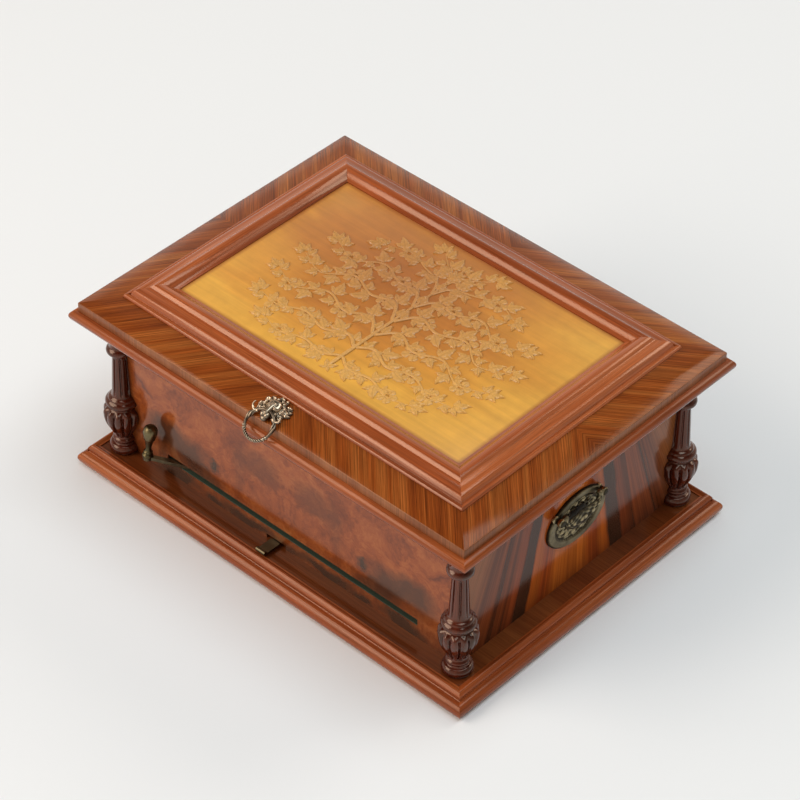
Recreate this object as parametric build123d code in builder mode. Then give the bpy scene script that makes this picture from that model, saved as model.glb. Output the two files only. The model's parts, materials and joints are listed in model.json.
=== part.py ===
from build123d import *
import math
import os

# Wind-up disc music box in a columned walnut case. Millimetres, +Z up, front towards -Y.
# The origin is on the table, under the middle of the case.

os.makedirs("parts", exist_ok=True)

# ---------------------------------------------------------------- driving dimensions

base_length = 501.8
base_depth = 378.4
cornice_length = 500.0
cornice_depth = 376.6
case_length = 431.0
case_depth = 305.0
wall = 12.0
post_size = 36.0

deck_z = 22.0
case_top = 182.0
lid_bottom = 194.0
lid_edge_top = 203.5
band_top = 210.1
panel_top = 217.2
lid_crest = 224.0

base_half_x = base_length / 2
base_half_y = base_depth / 2
cornice_half_x = cornice_length / 2
cornice_half_y = cornice_depth / 2
case_half_x = case_length / 2
case_half_y = case_depth / 2
inner_half_x = case_half_x - wall
inner_half_y = case_half_y - wall
post_half_x = case_half_x - post_size
post_half_y = case_half_y - post_size

base_moulding_width = 16.5
base_nose = 8.0
cornice_width = cornice_half_x - inner_half_x
cornice_nose = 6.0
mitre_gap = 0.05
joint_gap = 0.1

# Insets of the lid's steps, from the cornice's outer edge.
lid_edge_inset = 7.0
band_inset = 38.5
frame_inset = 46.0
panel_inset = 74.6
lid_board_bottom = 203.0
lining_thickness = 2.0

column_x = 217.3
column_y = 155.6
column_lobes = 12
column_flutes = 8
flute_bottom = deck_z + 72.0
flute_height = 44.0
flute_in = 2.1
flute_foot = 9.9
flute_radius = 1.3
lobe_groove_out = 20.8
lobe_groove_radius = 3.0

# Movement: heights of its plates, and the three upright arbors that mesh.
lower_plate_top = 28.0
foot_plate_holes = ((-24.0, 20.0), (-24.0, -108.0), (68.0, -112.0), (40.0, 20.0))
wood_screw_radius = 2.0
wood_screw_depth = 10.0
bedplate_bottom = 96.0
bedplate_top = 102.0
bedplate_half_x = 130.0
bedplate_half_y = 136.0
pillar_x = 118.0
pillar_y = 124.0
gear_bottom = 52.0
gear_thickness = 3.0
barrel_teeth = 100
spindle_teeth = 72
pinion_teeth = 16
tooth_module = 1.0
winding_y = -(barrel_teeth + spindle_teeth) * tooth_module / 2
governor_reach = (barrel_teeth + pinion_teeth) * tooth_module / 2
governor_bearing = -15.0
governor_x = governor_reach * math.cos(math.radians(governor_bearing))
governor_y = winding_y + governor_reach * math.sin(math.radians(governor_bearing))
running_gap = 0.05

worm_wheel_teeth = 36
worm_starts = 2
worm_radius = 5.0
worm_z = 117.0
worm_y = governor_y + worm_wheel_teeth * tooth_module / 2 + worm_radius
fan_x = 89.0

arbor_radius = 4.5
ratchet_teeth = 45
ratchet_radius = 24.0
ratchet_bottom = 44.8
pawl_reach = 34.0
pawl_lead = 38.0
lever_rest = -155.3
lever_bottom = 40.2
lever_thickness = 3.6
lever_reach = 191.5
lever_width = 9.0
lever_tip_width = 4.4
knob_size = 1.1
knob_lean = 7.2
knob_lean_bearing = 27.0

disc_radius = 120.0
disc_bottom = 138.0
disc_thickness = 0.8
projection_length = 2.2
drive_pin_x = 11.0

star_first = 32.0
star_pitch = 2.5
star_count = 33
star_z = 127.5
star_radius = 8.0
comb_tip_gap = 0.2
comb_back = 80.0

bar_bottom = 148.6
bar_thickness = 5.0
bar_hinge_y = 130.0
bar_hinge_z = bar_bottom + bar_thickness / 2
roller_radius = 4.5
roller_pin_radius = 1.2
roller_z = disc_bottom + disc_thickness + 0.3 + roller_radius
roller_places = {"inner": 60.0, "outer": 108.0}

stop_z = 29.0
stop_thickness = 2.0
tab_z = 24.2
stop_pivot = (-15.0, -128.0)
stop_pin_radius = 3.0
brake_radius = 10.0

handle_y = 5.0
handle_z = 100.0
handle_half_y = 41.0
handle_half_z = 29.5
handle_pivot_z = 118.0
handle_pivot_span = 26.0
handle_pivot_out = 8.0

hinge_y = cornice_half_y - lid_edge_inset + 3.6
hinge_z = lid_bottom
hinge_radius = 3.0
hinge_pin_radius = 1.2
hinge_x = 140.0
hinge_length = 48.0
hinge_well = hinge_radius + 0.4
hinge_screw_radius = 1.6
hinge_screw_inset = 16.0
hinge_screw_pitch = 16.0
hinge_screw_length = 8.0

mask_y = -165.8
mane_locks = 14
ring_pivot_y = -174.0
ring_pivot_z = 212.0
ring_radius = 15.0
ring_wire = 1.8
ring_slope = 38.0

stay_x = 199.0
stay_radius = 92.0
lid_opening = 95.0


def save(name, label):
    """Labels one finished sub-part and writes its STEP file."""
    name.part.label = label
    export_step(name.part, "parts/" + label + ".step")


def polar(radius, degrees, centre=(0.0, 0.0)):
    """A point at a distance and a bearing from a centre, in plan."""
    angle = math.radians(degrees)
    return (centre[0] + radius * math.cos(angle), centre[1] + radius * math.sin(angle))


def block(x_range, y_range, z_range, mode=Mode.ADD):
    """A box between two limits on each axis, in the part that is open."""
    with BuildSketch(Plane.XY.offset(z_range[0])) as plan:
        with Locations(((x_range[0] + x_range[1]) / 2, (y_range[0] + y_range[1]) / 2)):
            Rectangle(x_range[1] - x_range[0], y_range[1] - y_range[0])
    extrude(plan.sketch, amount=z_range[1] - z_range[0], mode=mode)


def rod(centre, radius, z_range, mode=Mode.ADD):
    """An upright cylinder, in the part that is open."""
    with BuildSketch(Plane.XY.offset(z_range[0])) as plan:
        with Locations(centre):
            Circle(radius)
    extrude(plan.sketch, amount=z_range[1] - z_range[0], mode=mode)


def cross_rod(plane, radius, length, mode=Mode.ADD):
    """A cylinder along a plane's normal, centred on the plane's origin."""
    with BuildSketch(plane) as end:
        Circle(radius)
    extrude(end.sketch, amount=length / 2, both=True, mode=mode)


def hinge_holes(side):
    """Where the three screws of one hinge stand, in plan."""
    places = []
    for place in (-1, 0, 1):
        places.append((side * hinge_x + place * hinge_screw_pitch, hinge_y - hinge_screw_inset))
    return places


def hinge_beds(leaf_z, screw_z):
    """The wood cut away for the leaves, the barrels and the screws of both hinges."""
    with BuildPart() as beds:
        for side in (-1, 1):
            middle = side * hinge_x
            span = (middle - hinge_length / 2 - 0.2, middle + hinge_length / 2 + 0.2)
            block(span, (hinge_y - 26, hinge_y), leaf_z)
            barrel_plane = Plane(origin=(middle, hinge_y, hinge_z), z_dir=(1, 0, 0))
            cross_rod(barrel_plane, hinge_well, hinge_length + 0.4)
            for hole in hinge_holes(side):
                rod(hole, hinge_screw_radius, screw_z)
    return beds.part


# ---------------------------------------------------------------- mitred frames


def moulding_length(half_length, half_depth, width, outline):
    """One straight length of a frame, on the -Y side, with both ends mitred."""
    side = Plane(origin=(0, -half_depth, 0), x_dir=(0, 1, 0), z_dir=(1, 0, 0))
    with BuildPart() as length:
        with BuildSketch(side):
            with BuildLine():
                outline()
            make_face()
        extrude(amount=half_length, both=True)
        back = half_length - width
        with BuildSketch(Plane.XY):
            with BuildLine():
                Polyline(
                    (-half_length + mitre_gap, -half_depth),
                    (half_length - mitre_gap, -half_depth),
                    (back - mitre_gap, -half_depth + width),
                    (-back + mitre_gap, -half_depth + width),
                    close=True,
                )
            make_face()
        extrude(amount=lid_crest + 1, mode=Mode.INTERSECT)
    return length.part


def mitred_frame(half_x, half_y, width, outline):
    """Four lengths of one moulding that meet at mitres round a rectangle."""
    front = moulding_length(half_x, half_y, width, outline)
    side = moulding_length(half_y, half_x, width, outline)
    with BuildPart() as frame:
        add(front)
        add(front.mirror(Plane.XZ))
        add(side.rotate(Axis.Z, 90))
        add(side.rotate(Axis.Z, -90))
    return frame


def base_outline():
    """Section of the base moulding: a round nose, a quirk, a bead and a flat."""
    RadiusArc((base_nose, 0), (base_nose, 2 * base_nose), base_nose)
    Line((base_nose, 2 * base_nose), (8.6, 17.6))
    Spline(
        (8.6, 17.6),
        (7.9, 21.0),
        (11.2, 24.5),
        (14.4, 23.0),
        tangents=((-0.6, 1), (1, -0.9)),
    )
    Line((14.4, 23.0), (base_moulding_width, 23.0))
    Line((base_moulding_width, 23.0), (base_moulding_width, 0))
    Line((base_moulding_width, 0), (base_nose, 0))


def cornice_outline():
    """Section of the cornice: a flat board with a bullnose."""
    RadiusArc((cornice_nose, case_top), (cornice_nose, lid_bottom), cornice_nose)
    Line((cornice_nose, lid_bottom), (cornice_width, lid_bottom))
    Line((cornice_width, lid_bottom), (cornice_width, case_top))
    Line((cornice_width, case_top), (cornice_nose, case_top))


def lid_frame_outline():
    """Section of the lid's frame: an upright edge and a wide band that rises inwards."""
    bottom = lid_bottom + joint_gap
    Polyline(
        (lid_edge_inset, bottom),
        (lid_edge_inset, lid_edge_top),
        (band_inset, band_top),
        (frame_inset, band_top),
        (frame_inset, bottom),
        close=True,
    )


def lid_moulding_outline():
    """Section of the picture-frame moulding: bead, cove, step and a high inner roll."""
    Line((band_inset - 1.5, band_top), (band_inset - 1.5, 211.0))
    Spline(
        (band_inset - 1.5, 211.0),
        (39.9, 213.0),
        (42.0, 212.2),
        tangents=((0.2, 1), (0.5, -1)),
    )
    Line((42.0, 212.2), (42.6, 214.0))
    Spline(
        (42.6, 214.0),
        (47.0, 218.6),
        (51.0, 219.4),
        (55.0, 220.6),
        tangents=((0.3, 1), (1, 0.6)),
    )
    Line((55.0, 220.6), (56.0, 221.4))
    Spline(
        (56.0, 221.4),
        (61.0, lid_crest),
        (66.0, 223.0),
        (71.0, 219.4),
        (panel_inset, 218.0),
        tangents=((0.6, 1), (1, -0.2)),
    )
    Line((panel_inset, 218.0), (panel_inset, band_top))
    Line((panel_inset, band_top), (band_inset - 1.5, band_top))


base_moulding = mitred_frame(base_half_x, base_half_y, base_moulding_width, base_outline)
save(base_moulding, "base_moulding")

cornice_lengths = mitred_frame(
    cornice_half_x, cornice_half_y, cornice_width, cornice_outline
)
with BuildPart() as cornice:
    add(cornice_lengths.part)
    cuts = hinge_beds((hinge_z - 1.7, hinge_z + 1), (hinge_z - hinge_screw_length, hinge_z))
    add(cuts, mode=Mode.SUBTRACT)
save(cornice, "cornice")

# ---------------------------------------------------------------- base and case

with BuildPart() as base_board:
    board_x = base_half_x - base_moulding_width
    board_y = base_half_y - base_moulding_width
    block((-board_x, board_x), (-board_y, board_y), (0.0, deck_z))
    for centre in foot_plate_holes:
        rod(centre, wood_screw_radius, (deck_z - wood_screw_depth, deck_z + 1), Mode.SUBTRACT)
save(base_board, "base_board")

slot_bottom = 38.4
slot_top = 45.0
slot_left = -160.0
slot_right = 165.0
felt_thickness = 1.0
stop_slot_half = 12.5

with BuildPart() as front_panel:
    front_y = (-case_half_y, -inner_half_y)
    through = (-case_half_y - 1, -inner_half_y + 1)
    block((-post_half_x, post_half_x), front_y, (deck_z, case_top))
    block((slot_left, slot_right), through, (slot_bottom, slot_top), Mode.SUBTRACT)
    stop_span = (stop_pivot[0] - stop_slot_half, stop_pivot[0] + stop_slot_half)
    block(stop_span, through, (deck_z, tab_z + stop_thickness + 1.0), Mode.SUBTRACT)
save(front_panel, "front_panel")

with BuildPart() as lever_slot_felt:
    felt_y = (-case_half_y - 0.4, -inner_half_y)
    block((slot_left, slot_right), felt_y, (slot_bottom, slot_bottom + felt_thickness))
save(lever_slot_felt, "lever_slot_felt")

with BuildPart() as back_panel:
    block((-post_half_x, post_half_x), (inner_half_y, case_half_y), (deck_z, case_top))
save(back_panel, "back_panel")

for side, label in ((-1, "left_panel"), (1, "right_panel")):
    with BuildPart() as side_panel:
        x_range = sorted((side * inner_half_x, side * case_half_x))
        block(x_range, (-post_half_y, post_half_y), (deck_z, case_top))
    save(side_panel, label)

with BuildPart() as corner_posts:
    for sx, sy in ((1, 1), (1, -1), (-1, 1), (-1, -1)):
        x_range = sorted((sx * post_half_x, sx * case_half_x))
        y_range = sorted((sy * post_half_y, sy * case_half_y))
        block(x_range, y_range, (deck_z, case_top))
save(corner_posts, "corner_posts")


def column_outline():
    """Half section of a column, from the deck up to the cornice, as radius and height."""
    z = deck_z
    Line((0, z), (13.5, z))
    Spline((13.5, z), (15.0, z + 4.5), (13.2, z + 9.5), tangents=((1, 0.5), (-1, 0.5)))
    Line((13.2, z + 9.5), (10.4, z + 10.8))
    Line((10.4, z + 10.8), (10.2, z + 12.8))
    Spline((10.2, z + 12.8), (11.3, z + 14.8), (9.7, z + 17.0), tangents=((1, 0.4), (-1, 0.4)))
    Spline(
        (9.7, z + 17.0),
        (9.2, z + 19.5),
        (13.8, z + 28.0),
        (19.0, z + 41.5),
        (17.6, z + 51.0),
        (14.4, z + 55.5),
        tangents=((-0.5, 1), (-1, 0.6)),
    )
    Line((14.4, z + 55.5), (14.4, z + 57.5))
    Spline((14.4, z + 57.5), (16.6, z + 61.0), (14.6, z + 64.8), tangents=((1, 0.4), (-1, 0.4)))
    Line((14.6, z + 64.8), (12.9, z + 66.5))
    Spline((12.9, z + 66.5), (10.4, z + 68.4), (9.7, z + 72.0), tangents=((-1, 0.6), (-0.05, 1)))
    Line((9.7, z + 72.0), (7.6, z + 117.0))
    Spline((7.6, z + 117.0), (8.4, z + 120.0), (10.0, z + 121.0), tangents=((0, 1), (1, 0.4)))
    Spline((10.0, z + 121.0), (12.7, z + 125.5), (10.0, z + 130.0), tangents=((1, 0.2), (-1, 0.2)))
    Spline((10.0, z + 130.0), (9.2, z + 134.0), (14.6, z + 150.0), tangents=((-0.6, 1), (0.6, 1)))
    Line((14.6, z + 150.0), (15.5, z + 150.0))
    Line((15.5, z + 150.0), (15.5, case_top))
    Line((15.5, case_top), (0, case_top))
    Line((0, case_top), (0, z))


def turned_column():
    """One whole turned column on the Z axis, its belly cut into lobes and its shaft fluted."""
    with BuildPart() as column:
        with BuildSketch(Plane.XZ):
            with BuildLine():
                column_outline()
            make_face()
        revolve(axis=Axis.Z)
        lean = math.hypot(flute_height, flute_in)
        for index in range(column_flutes):
            bearing = math.radians(index * 360 / column_flutes)
            outward = (math.cos(bearing), math.sin(bearing))
            foot = (flute_foot * outward[0], flute_foot * outward[1], flute_bottom)
            rise = (-flute_in * outward[0], -flute_in * outward[1], flute_height)
            with BuildSketch(Plane(origin=foot, z_dir=rise)):
                Circle(flute_radius)
            extrude(amount=lean, mode=Mode.SUBTRACT)
        for index in range(column_lobes):
            groove = polar(lobe_groove_out, (index + 0.5) * 360 / column_lobes)
            with BuildSketch(Plane.XY.offset(deck_z + 24)):
                with Locations(groove):
                    Circle(lobe_groove_radius)
            extrude(amount=30, mode=Mode.SUBTRACT)
    return column.part


column = turned_column()
for sy, label in ((-1, "front_columns"), (1, "back_columns")):
    with BuildPart() as column_pair:
        with Locations((-column_x, sy * column_y, 0), (column_x, sy * column_y, 0)):
            add(column)
        case_y = sorted((0, sy * case_half_y))
        block((-case_half_x, case_half_x), case_y, (deck_z, case_top), Mode.SUBTRACT)
    save(column_pair, label)

# ---------------------------------------------------------------- lid

lid_lengths = mitred_frame(cornice_half_x, cornice_half_y, frame_inset, lid_frame_outline)
with BuildPart() as lid_frame:
    add(lid_lengths.part)
    cuts = hinge_beds((hinge_z - 1, hinge_z + 1.9), (hinge_z, hinge_z + hinge_screw_length))
    add(cuts, mode=Mode.SUBTRACT)
save(lid_frame, "lid_frame")

with BuildPart() as lid_panel:
    board_x = cornice_half_x - frame_inset
    board_y = cornice_half_y - frame_inset
    field_x = cornice_half_x - panel_inset
    field_y = cornice_half_y - panel_inset
    block((-board_x, board_x), (-board_y, board_y), (lid_board_bottom, band_top))
    block((-field_x, field_x), (-field_y, field_y), (band_top, panel_top))
save(lid_panel, "lid_panel")

lid_moulding = mitred_frame(cornice_half_x, cornice_half_y, panel_inset, lid_moulding_outline)
save(lid_moulding, "lid_moulding")

with BuildPart() as lid_lining:
    lining_x = board_x - 1
    lining_y = board_y - 1
    lining_z = (lid_board_bottom - lining_thickness, lid_board_bottom)
    block((-lining_x, lining_x), (-lining_y, lining_y), lining_z)
save(lid_lining, "lid_lining")

# ---------------------------------------------------------------- lid hinges


def hinge_leaf(z_range, knuckles):
    """A pair of leaves, each let into the wood, with knuckles at the given places."""
    with BuildPart() as leaves:
        for side in (-1, 1):
            middle = side * hinge_x
            span = (middle - hinge_length / 2, middle + hinge_length / 2)
            block(span, (hinge_y - 25, hinge_y - hinge_radius - 0.6), z_range)
            for place in knuckles:
                centre = middle + place * hinge_length / 5
                low = centre - hinge_length / 10 + 0.1
                high = centre + hinge_length / 10 - 0.1
                block((low, high), (hinge_y - hinge_radius - 0.6, hinge_y), z_range)
                barrel_plane = Plane(origin=(centre, hinge_y, hinge_z), z_dir=(1, 0, 0))
                cross_rod(barrel_plane, hinge_radius, high - low)
            axis_plane = Plane(origin=(middle, hinge_y, hinge_z), z_dir=(1, 0, 0))
            cross_rod(axis_plane, hinge_pin_radius + running_gap, hinge_length, Mode.SUBTRACT)
            for hole in hinge_holes(side):
                through = (z_range[0] - 1, z_range[1] + 1)
                rod(hole, hinge_screw_radius + 0.1, through, Mode.SUBTRACT)
    return leaves


hinge_case_leaves = hinge_leaf((hinge_z - 1.65, hinge_z - 0.15), (-2, 0, 2))
save(hinge_case_leaves, "hinge_case_leaves")
hinge_lid_leaves = hinge_leaf((hinge_z + 0.25, hinge_z + 1.75), (-1, 1))
save(hinge_lid_leaves, "hinge_lid_leaves")

with BuildPart() as hinge_pins:
    for side in (-1, 1):
        axis_plane = Plane(origin=(side * hinge_x, hinge_y, hinge_z), z_dir=(1, 0, 0))
        cross_rod(axis_plane, hinge_pin_radius, hinge_length + 0.3)
save(hinge_pins, "hinge_pins")

with BuildPart() as hinge_lid_screws:
    for side in (-1, 1):
        for hole in hinge_holes(side):
            rod(hole, hinge_screw_radius, (hinge_z + 0.35, hinge_z + hinge_screw_length))
save(hinge_lid_screws, "hinge_lid_screws")

# ---------------------------------------------------------------- bedplate and its pillars

governor_centre = (governor_x, governor_y)
winding_centre = (0.0, winding_y)
pillar_places = [(sx * pillar_x, sy * pillar_y) for sx in (-1, 1) for sy in (-1, 1)]
spindle_radius = 5.0
seat_radius = 16.0
bolt_radius = 2.5
bolt_depth = 14.0

with BuildPart() as lower_plate:
    with BuildSketch(Plane.XY.offset(deck_z)):
        with BuildLine():
            Polyline((-32, 28), (-32, -116), (76, -120), (76, -84), (48, 28), close=True)
        make_face()
    extrude(amount=lower_plate_top - deck_z)
    fillet(lower_plate.edges().filter_by(Axis.Z), 7)
    for centre in ((0.0, 0.0), winding_centre):
        rod(centre, 3.0 + running_gap, (deck_z - 1, lower_plate_top + 1), Mode.SUBTRACT)
    rod(governor_centre, 2.0 + running_gap, (deck_z - 1, lower_plate_top + 1), Mode.SUBTRACT)
    for centre in foot_plate_holes:
        through = (deck_z - 1, lower_plate_top + 1)
        rod(centre, wood_screw_radius + 0.2, through, Mode.SUBTRACT)
save(lower_plate, "lower_plate")

with BuildPart() as bedplate:
    block(
        (-bedplate_half_x, bedplate_half_x),
        (-bedplate_half_y, bedplate_half_y),
        (bedplate_bottom, bedplate_top),
    )
    fillet(bedplate.edges().filter_by(Axis.Z), 16)
    through = (bedplate_bottom - 1, bedplate_top + 1)
    rod((0, 0), spindle_radius + running_gap, through, Mode.SUBTRACT)
    rod(winding_centre, 3.0 + running_gap, through, Mode.SUBTRACT)
    rod(governor_centre, 3.0 + running_gap, through, Mode.SUBTRACT)
    for centre in pillar_places:
        rod(centre, bolt_radius, through, Mode.SUBTRACT)
save(bedplate, "bedplate")

with BuildPart() as bedplate_pillars:
    for centre in pillar_places:
        rod(centre, 8.0, (deck_z, deck_z + 4))
        rod(centre, 5.5, (deck_z + 4, bedplate_bottom))
        bolt_z = (bedplate_bottom - bolt_depth, bedplate_bottom + 1)
        rod(centre, bolt_radius, bolt_z, Mode.SUBTRACT)
save(bedplate_pillars, "bedplate_pillars")

# ---------------------------------------------------------------- wheels


def gear_outline(teeth, tooth_share=0.42, phase=0.0, addendum=0.85, dedendum=1.15):
    """The corners of a straight-sided gear of the shared tooth module, as plan points."""
    pitch_radius = teeth * tooth_module / 2
    outer = pitch_radius + addendum * tooth_module
    root = pitch_radius - dedendum * tooth_module
    pitch = 360 / teeth
    corners = []
    for index in range(teeth):
        middle = phase + index * pitch
        for radius, share in ((root, -0.62), (outer, -0.26), (outer, 0.26), (root, 0.62)):
            bearing = middle + share * tooth_share / 0.42 * pitch / 2
            corners.append(polar(radius, bearing))
    return corners


def toothed_disc(centre, z_range, corners):
    """A gear blank with its teeth, in the part that is open."""
    with BuildSketch(Plane.XY.offset(z_range[0])) as plan:
        with Locations(centre):
            Polygon(*corners, align=None)
    extrude(plan.sketch, amount=z_range[1] - z_range[0])


gear_z = (gear_bottom, gear_bottom + gear_thickness)
barrel_inner = 41.5
barrel_outer = 44.0
barrel_top = 88.0
cover_top = 90.5
barrel_bore = arbor_radius + running_gap
# The barrel's tooth points at the spindle, whose wheel has a gap there.
barrel_phase = 90.0
spindle_phase = -90.0 + 180 / spindle_teeth
# The barrel's teeth on the line to the governor decide how the pinion there stands.
tooth_offset = (barrel_phase - governor_bearing) % (360 / barrel_teeth)
pinion_turn = 180 / pinion_teeth - tooth_offset * barrel_teeth / pinion_teeth
pinion_phase = governor_bearing + 180.0 + pinion_turn

with BuildPart() as spring_barrel:
    toothed_disc(winding_centre, gear_z, gear_outline(barrel_teeth, phase=barrel_phase))
    rod(winding_centre, barrel_outer, (gear_z[1], barrel_top))
    rod(winding_centre, barrel_inner, (gear_z[1], barrel_top + 1), Mode.SUBTRACT)
    rod(winding_centre, barrel_bore, (gear_bottom - 1, barrel_top), Mode.SUBTRACT)
save(spring_barrel, "spring_barrel")

with BuildPart() as barrel_cover:
    rod(winding_centre, barrel_outer, (barrel_top, cover_top))
    rod(winding_centre, barrel_bore, (barrel_top - 1, cover_top + 1), Mode.SUBTRACT)
save(barrel_cover, "barrel_cover")

spring_turns = 18
spring_first = 7.0
spring_pitch = 3.6
spring_strip = 0.9

with BuildPart() as mainspring:
    with BuildSketch(Plane.XY.offset(gear_z[1] + 1.5)):
        for index in range(spring_turns):
            shift = (index % 2) * spring_pitch / 2
            middle = (winding_centre[0] + shift, winding_centre[1])
            radius = spring_first + index * spring_pitch / 2
            start = 0 if index % 2 == 0 else 180
            with BuildLine():
                outer = CenterArc(middle, radius + spring_strip / 2, start, 180)
                inner = CenterArc(middle, radius - spring_strip / 2, start, 180)
                Line(outer @ 0, inner @ 0)
                Line(outer @ 1, inner @ 1)
            make_face()
    extrude(amount=barrel_top - gear_z[1] - 3)
save(mainspring, "mainspring")

with BuildPart() as winding_arbor:
    rod(winding_centre, 3.0, (deck_z + 0.5, bedplate_top - 0.5))
    rod(winding_centre, arbor_radius, (lower_plate_top + 0.2, bedplate_bottom - 0.5))
    rod(winding_centre, 8.5, (lower_plate_top + 7, lever_bottom - 0.1))
    rod(winding_centre, 6.5, (ratchet_bottom + 4.2, gear_bottom - 0.2))
save(winding_arbor, "winding_arbor")

# ---------------------------------------------------------------- ratchet, pawl and click

ratchet_pitch = 360 / ratchet_teeth
ratchet_root = 21.6
tooth_bearing = lever_rest + pawl_lead
ratchet_z = (ratchet_bottom, ratchet_bottom + 4)
pawl_z = (ratchet_bottom, ratchet_bottom + 3.4)

with BuildPart() as ratchet_wheel:
    corners = []
    for index in range(ratchet_teeth):
        face = tooth_bearing + 0.6 + index * ratchet_pitch
        corners.append(polar(ratchet_root, face))
        corners.append(polar(ratchet_radius, face))
        corners.append(polar(ratchet_radius, face + 0.8))
    toothed_disc(winding_centre, ratchet_z, corners)
    rod(winding_centre, arbor_radius, (ratchet_bottom - 1, ratchet_z[1] + 1), Mode.SUBTRACT)
save(ratchet_wheel, "ratchet_wheel")


def pawl(pivot_bearing, tip_radius, bore):
    """A pawl that pushes the ratchet anticlockwise, from its pivot to a tooth."""
    pivot = polar(pawl_reach, pivot_bearing, winding_centre)
    tip_bearing = pivot_bearing + pawl_lead
    with BuildPart() as finger:
        with BuildSketch(Plane.XY.offset(pawl_z[0])):
            with Locations(pivot):
                Circle(5.0)
            with BuildLine():
                Polyline(
                    polar(pawl_reach + 4.9, pivot_bearing - 0.5, winding_centre),
                    polar(pawl_reach + 1.5, pivot_bearing + 14, winding_centre),
                    polar(tip_radius + 3.4, tip_bearing - 3, winding_centre),
                    polar(tip_radius + 1.6, tip_bearing, winding_centre),
                    polar(tip_radius, tip_bearing, winding_centre),
                    polar(tip_radius + 1.3, tip_bearing - 4, winding_centre),
                    polar(tip_radius + 2.3, tip_bearing - 8, winding_centre),
                    polar(tip_radius + 4.0, tip_bearing - 14, winding_centre),
                    polar(pawl_reach - 4.4, pivot_bearing + 11, winding_centre),
                    polar(pawl_reach - 4.9, pivot_bearing, winding_centre),
                    close=True,
                )
            make_face()
        extrude(amount=pawl_z[1] - pawl_z[0])
        rod(pivot, bore, (pawl_z[0] - 1, pawl_z[1] + 1), Mode.SUBTRACT)
    return finger


pin_radius = 2.0
click_bearing = lever_rest + 30 * ratchet_pitch
lever_pawl = pawl(lever_rest, ratchet_radius - 1.5, pin_radius + running_gap)
save(lever_pawl, "lever_pawl")
ratchet_click = pawl(click_bearing, ratchet_radius + 0.15, pin_radius + running_gap)
save(ratchet_click, "ratchet_click")

with BuildPart() as pivot_posts:
    click_pivot = polar(pawl_reach, click_bearing, winding_centre)
    rod(click_pivot, 4.5, (lower_plate_top, pawl_z[0] - 0.2))
    rod(click_pivot, pin_radius, (pawl_z[0] - 0.2, gear_bottom - 0.5))
    rod(stop_pivot, 6.0, (deck_z, stop_z - 0.2))
    rod(stop_pivot, stop_pin_radius, (stop_z - 0.2, stop_z + stop_thickness + 0.2))
    rod(stop_pivot, 5.0, (stop_z + stop_thickness + 0.2, stop_z + stop_thickness + 2.5))
save(pivot_posts, "pivot_posts")

# ---------------------------------------------------------------- winding lever

lever_top = lever_bottom + lever_thickness
lever_tip = polar(lever_reach, lever_rest, winding_centre)
lever_tip_pad = 4.9

# The knob leans a little, towards the case and the lever's pivot.
lean_over = math.radians(knob_lean)
lean_towards = (math.cos(math.radians(knob_lean_bearing)), math.sin(math.radians(knob_lean_bearing)))
knob_axis = (
    math.sin(lean_over) * lean_towards[0],
    math.sin(lean_over) * lean_towards[1],
    math.cos(lean_over),
)
knob_across = (
    math.cos(lean_over) * lean_towards[0],
    math.cos(lean_over) * lean_towards[1],
    -math.sin(lean_over),
)

with BuildPart() as winding_lever:
    across = lever_rest + 90
    with BuildSketch(Plane.XY.offset(lever_bottom)):
        with Locations(winding_centre):
            Circle(11.5)
        with BuildLine():
            Polyline(
                polar(lever_width / 2, across, winding_centre),
                polar(lever_tip_width / 2, across, lever_tip),
                polar(lever_tip_width / 2, across + 180, lever_tip),
                polar(lever_width / 2, across + 180, winding_centre),
                close=True,
            )
        make_face()
        with Locations(lever_tip):
            Circle(lever_tip_pad)
        with Locations(polar(pawl_reach, lever_rest, winding_centre)):
            Circle(7.0)
    extrude(amount=lever_thickness)
    rod(winding_centre, barrel_bore, (lever_bottom - 1, lever_top + 1), Mode.SUBTRACT)
    rod(polar(pawl_reach, lever_rest, winding_centre), pin_radius, (lever_top, pawl_z[1] + 1.5))
save(winding_lever, "winding_lever")

with BuildPart() as lever_knob:
    knob_foot = (lever_tip[0], lever_tip[1], lever_top - 0.6)
    knob_plane = Plane(origin=knob_foot, x_dir=knob_across, z_dir=(lean_towards[1], -lean_towards[0], 0))
    with BuildSketch(knob_plane):
        with BuildLine() as knob_outline:
            Line((0, 0), (4.0, 0))
            Spline(
                (4.0, 0),
                (4.0, 2.2),
                (2.7, 5.5),
                (2.9, 13.0),
                (6.0, 25.0),
                (5.8, 31.5),
                (2.9, 35.4),
                (0, 36.2),
                tangents=((0.2, 1), (-1, 0)),
            )
            Line((0, 36.2), (0, 0))
            scale(by=knob_size, mode=Mode.REPLACE)
        make_face()
    revolve(axis=Axis(knob_foot, knob_axis))
    reach = 2 * lever_tip_pad
    knob_x = (lever_tip[0] - reach, lever_tip[0] + reach)
    knob_y = (lever_tip[1] - reach, lever_tip[1] + reach)
    block(knob_x, knob_y, (lever_bottom, lever_top), Mode.SUBTRACT)
save(lever_knob, "lever_knob")

# ---------------------------------------------------------------- disc drive

with BuildPart() as centre_spindle:
    rod((0, 0), 3.0, (deck_z + 0.5, lower_plate_top + 2))
    rod((0, 0), spindle_radius, (lower_plate_top + 0.2, disc_bottom - 6))
    rod((0, 0), 8.5, (lower_plate_top + 8, gear_bottom))
    rod((0, 0), seat_radius, (disc_bottom - 5, disc_bottom))
    rod((0, 0), spindle_radius, (disc_bottom - 7, disc_bottom - 4))
    rod((0, 0), 4.0, (disc_bottom, disc_bottom + 8))
    fillet(centre_spindle.edges().group_by(Axis.Z)[-1], 2.5)
    rod((drive_pin_x, 0), 1.5, (disc_bottom, disc_bottom + 5))
save(centre_spindle, "centre_spindle")

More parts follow.
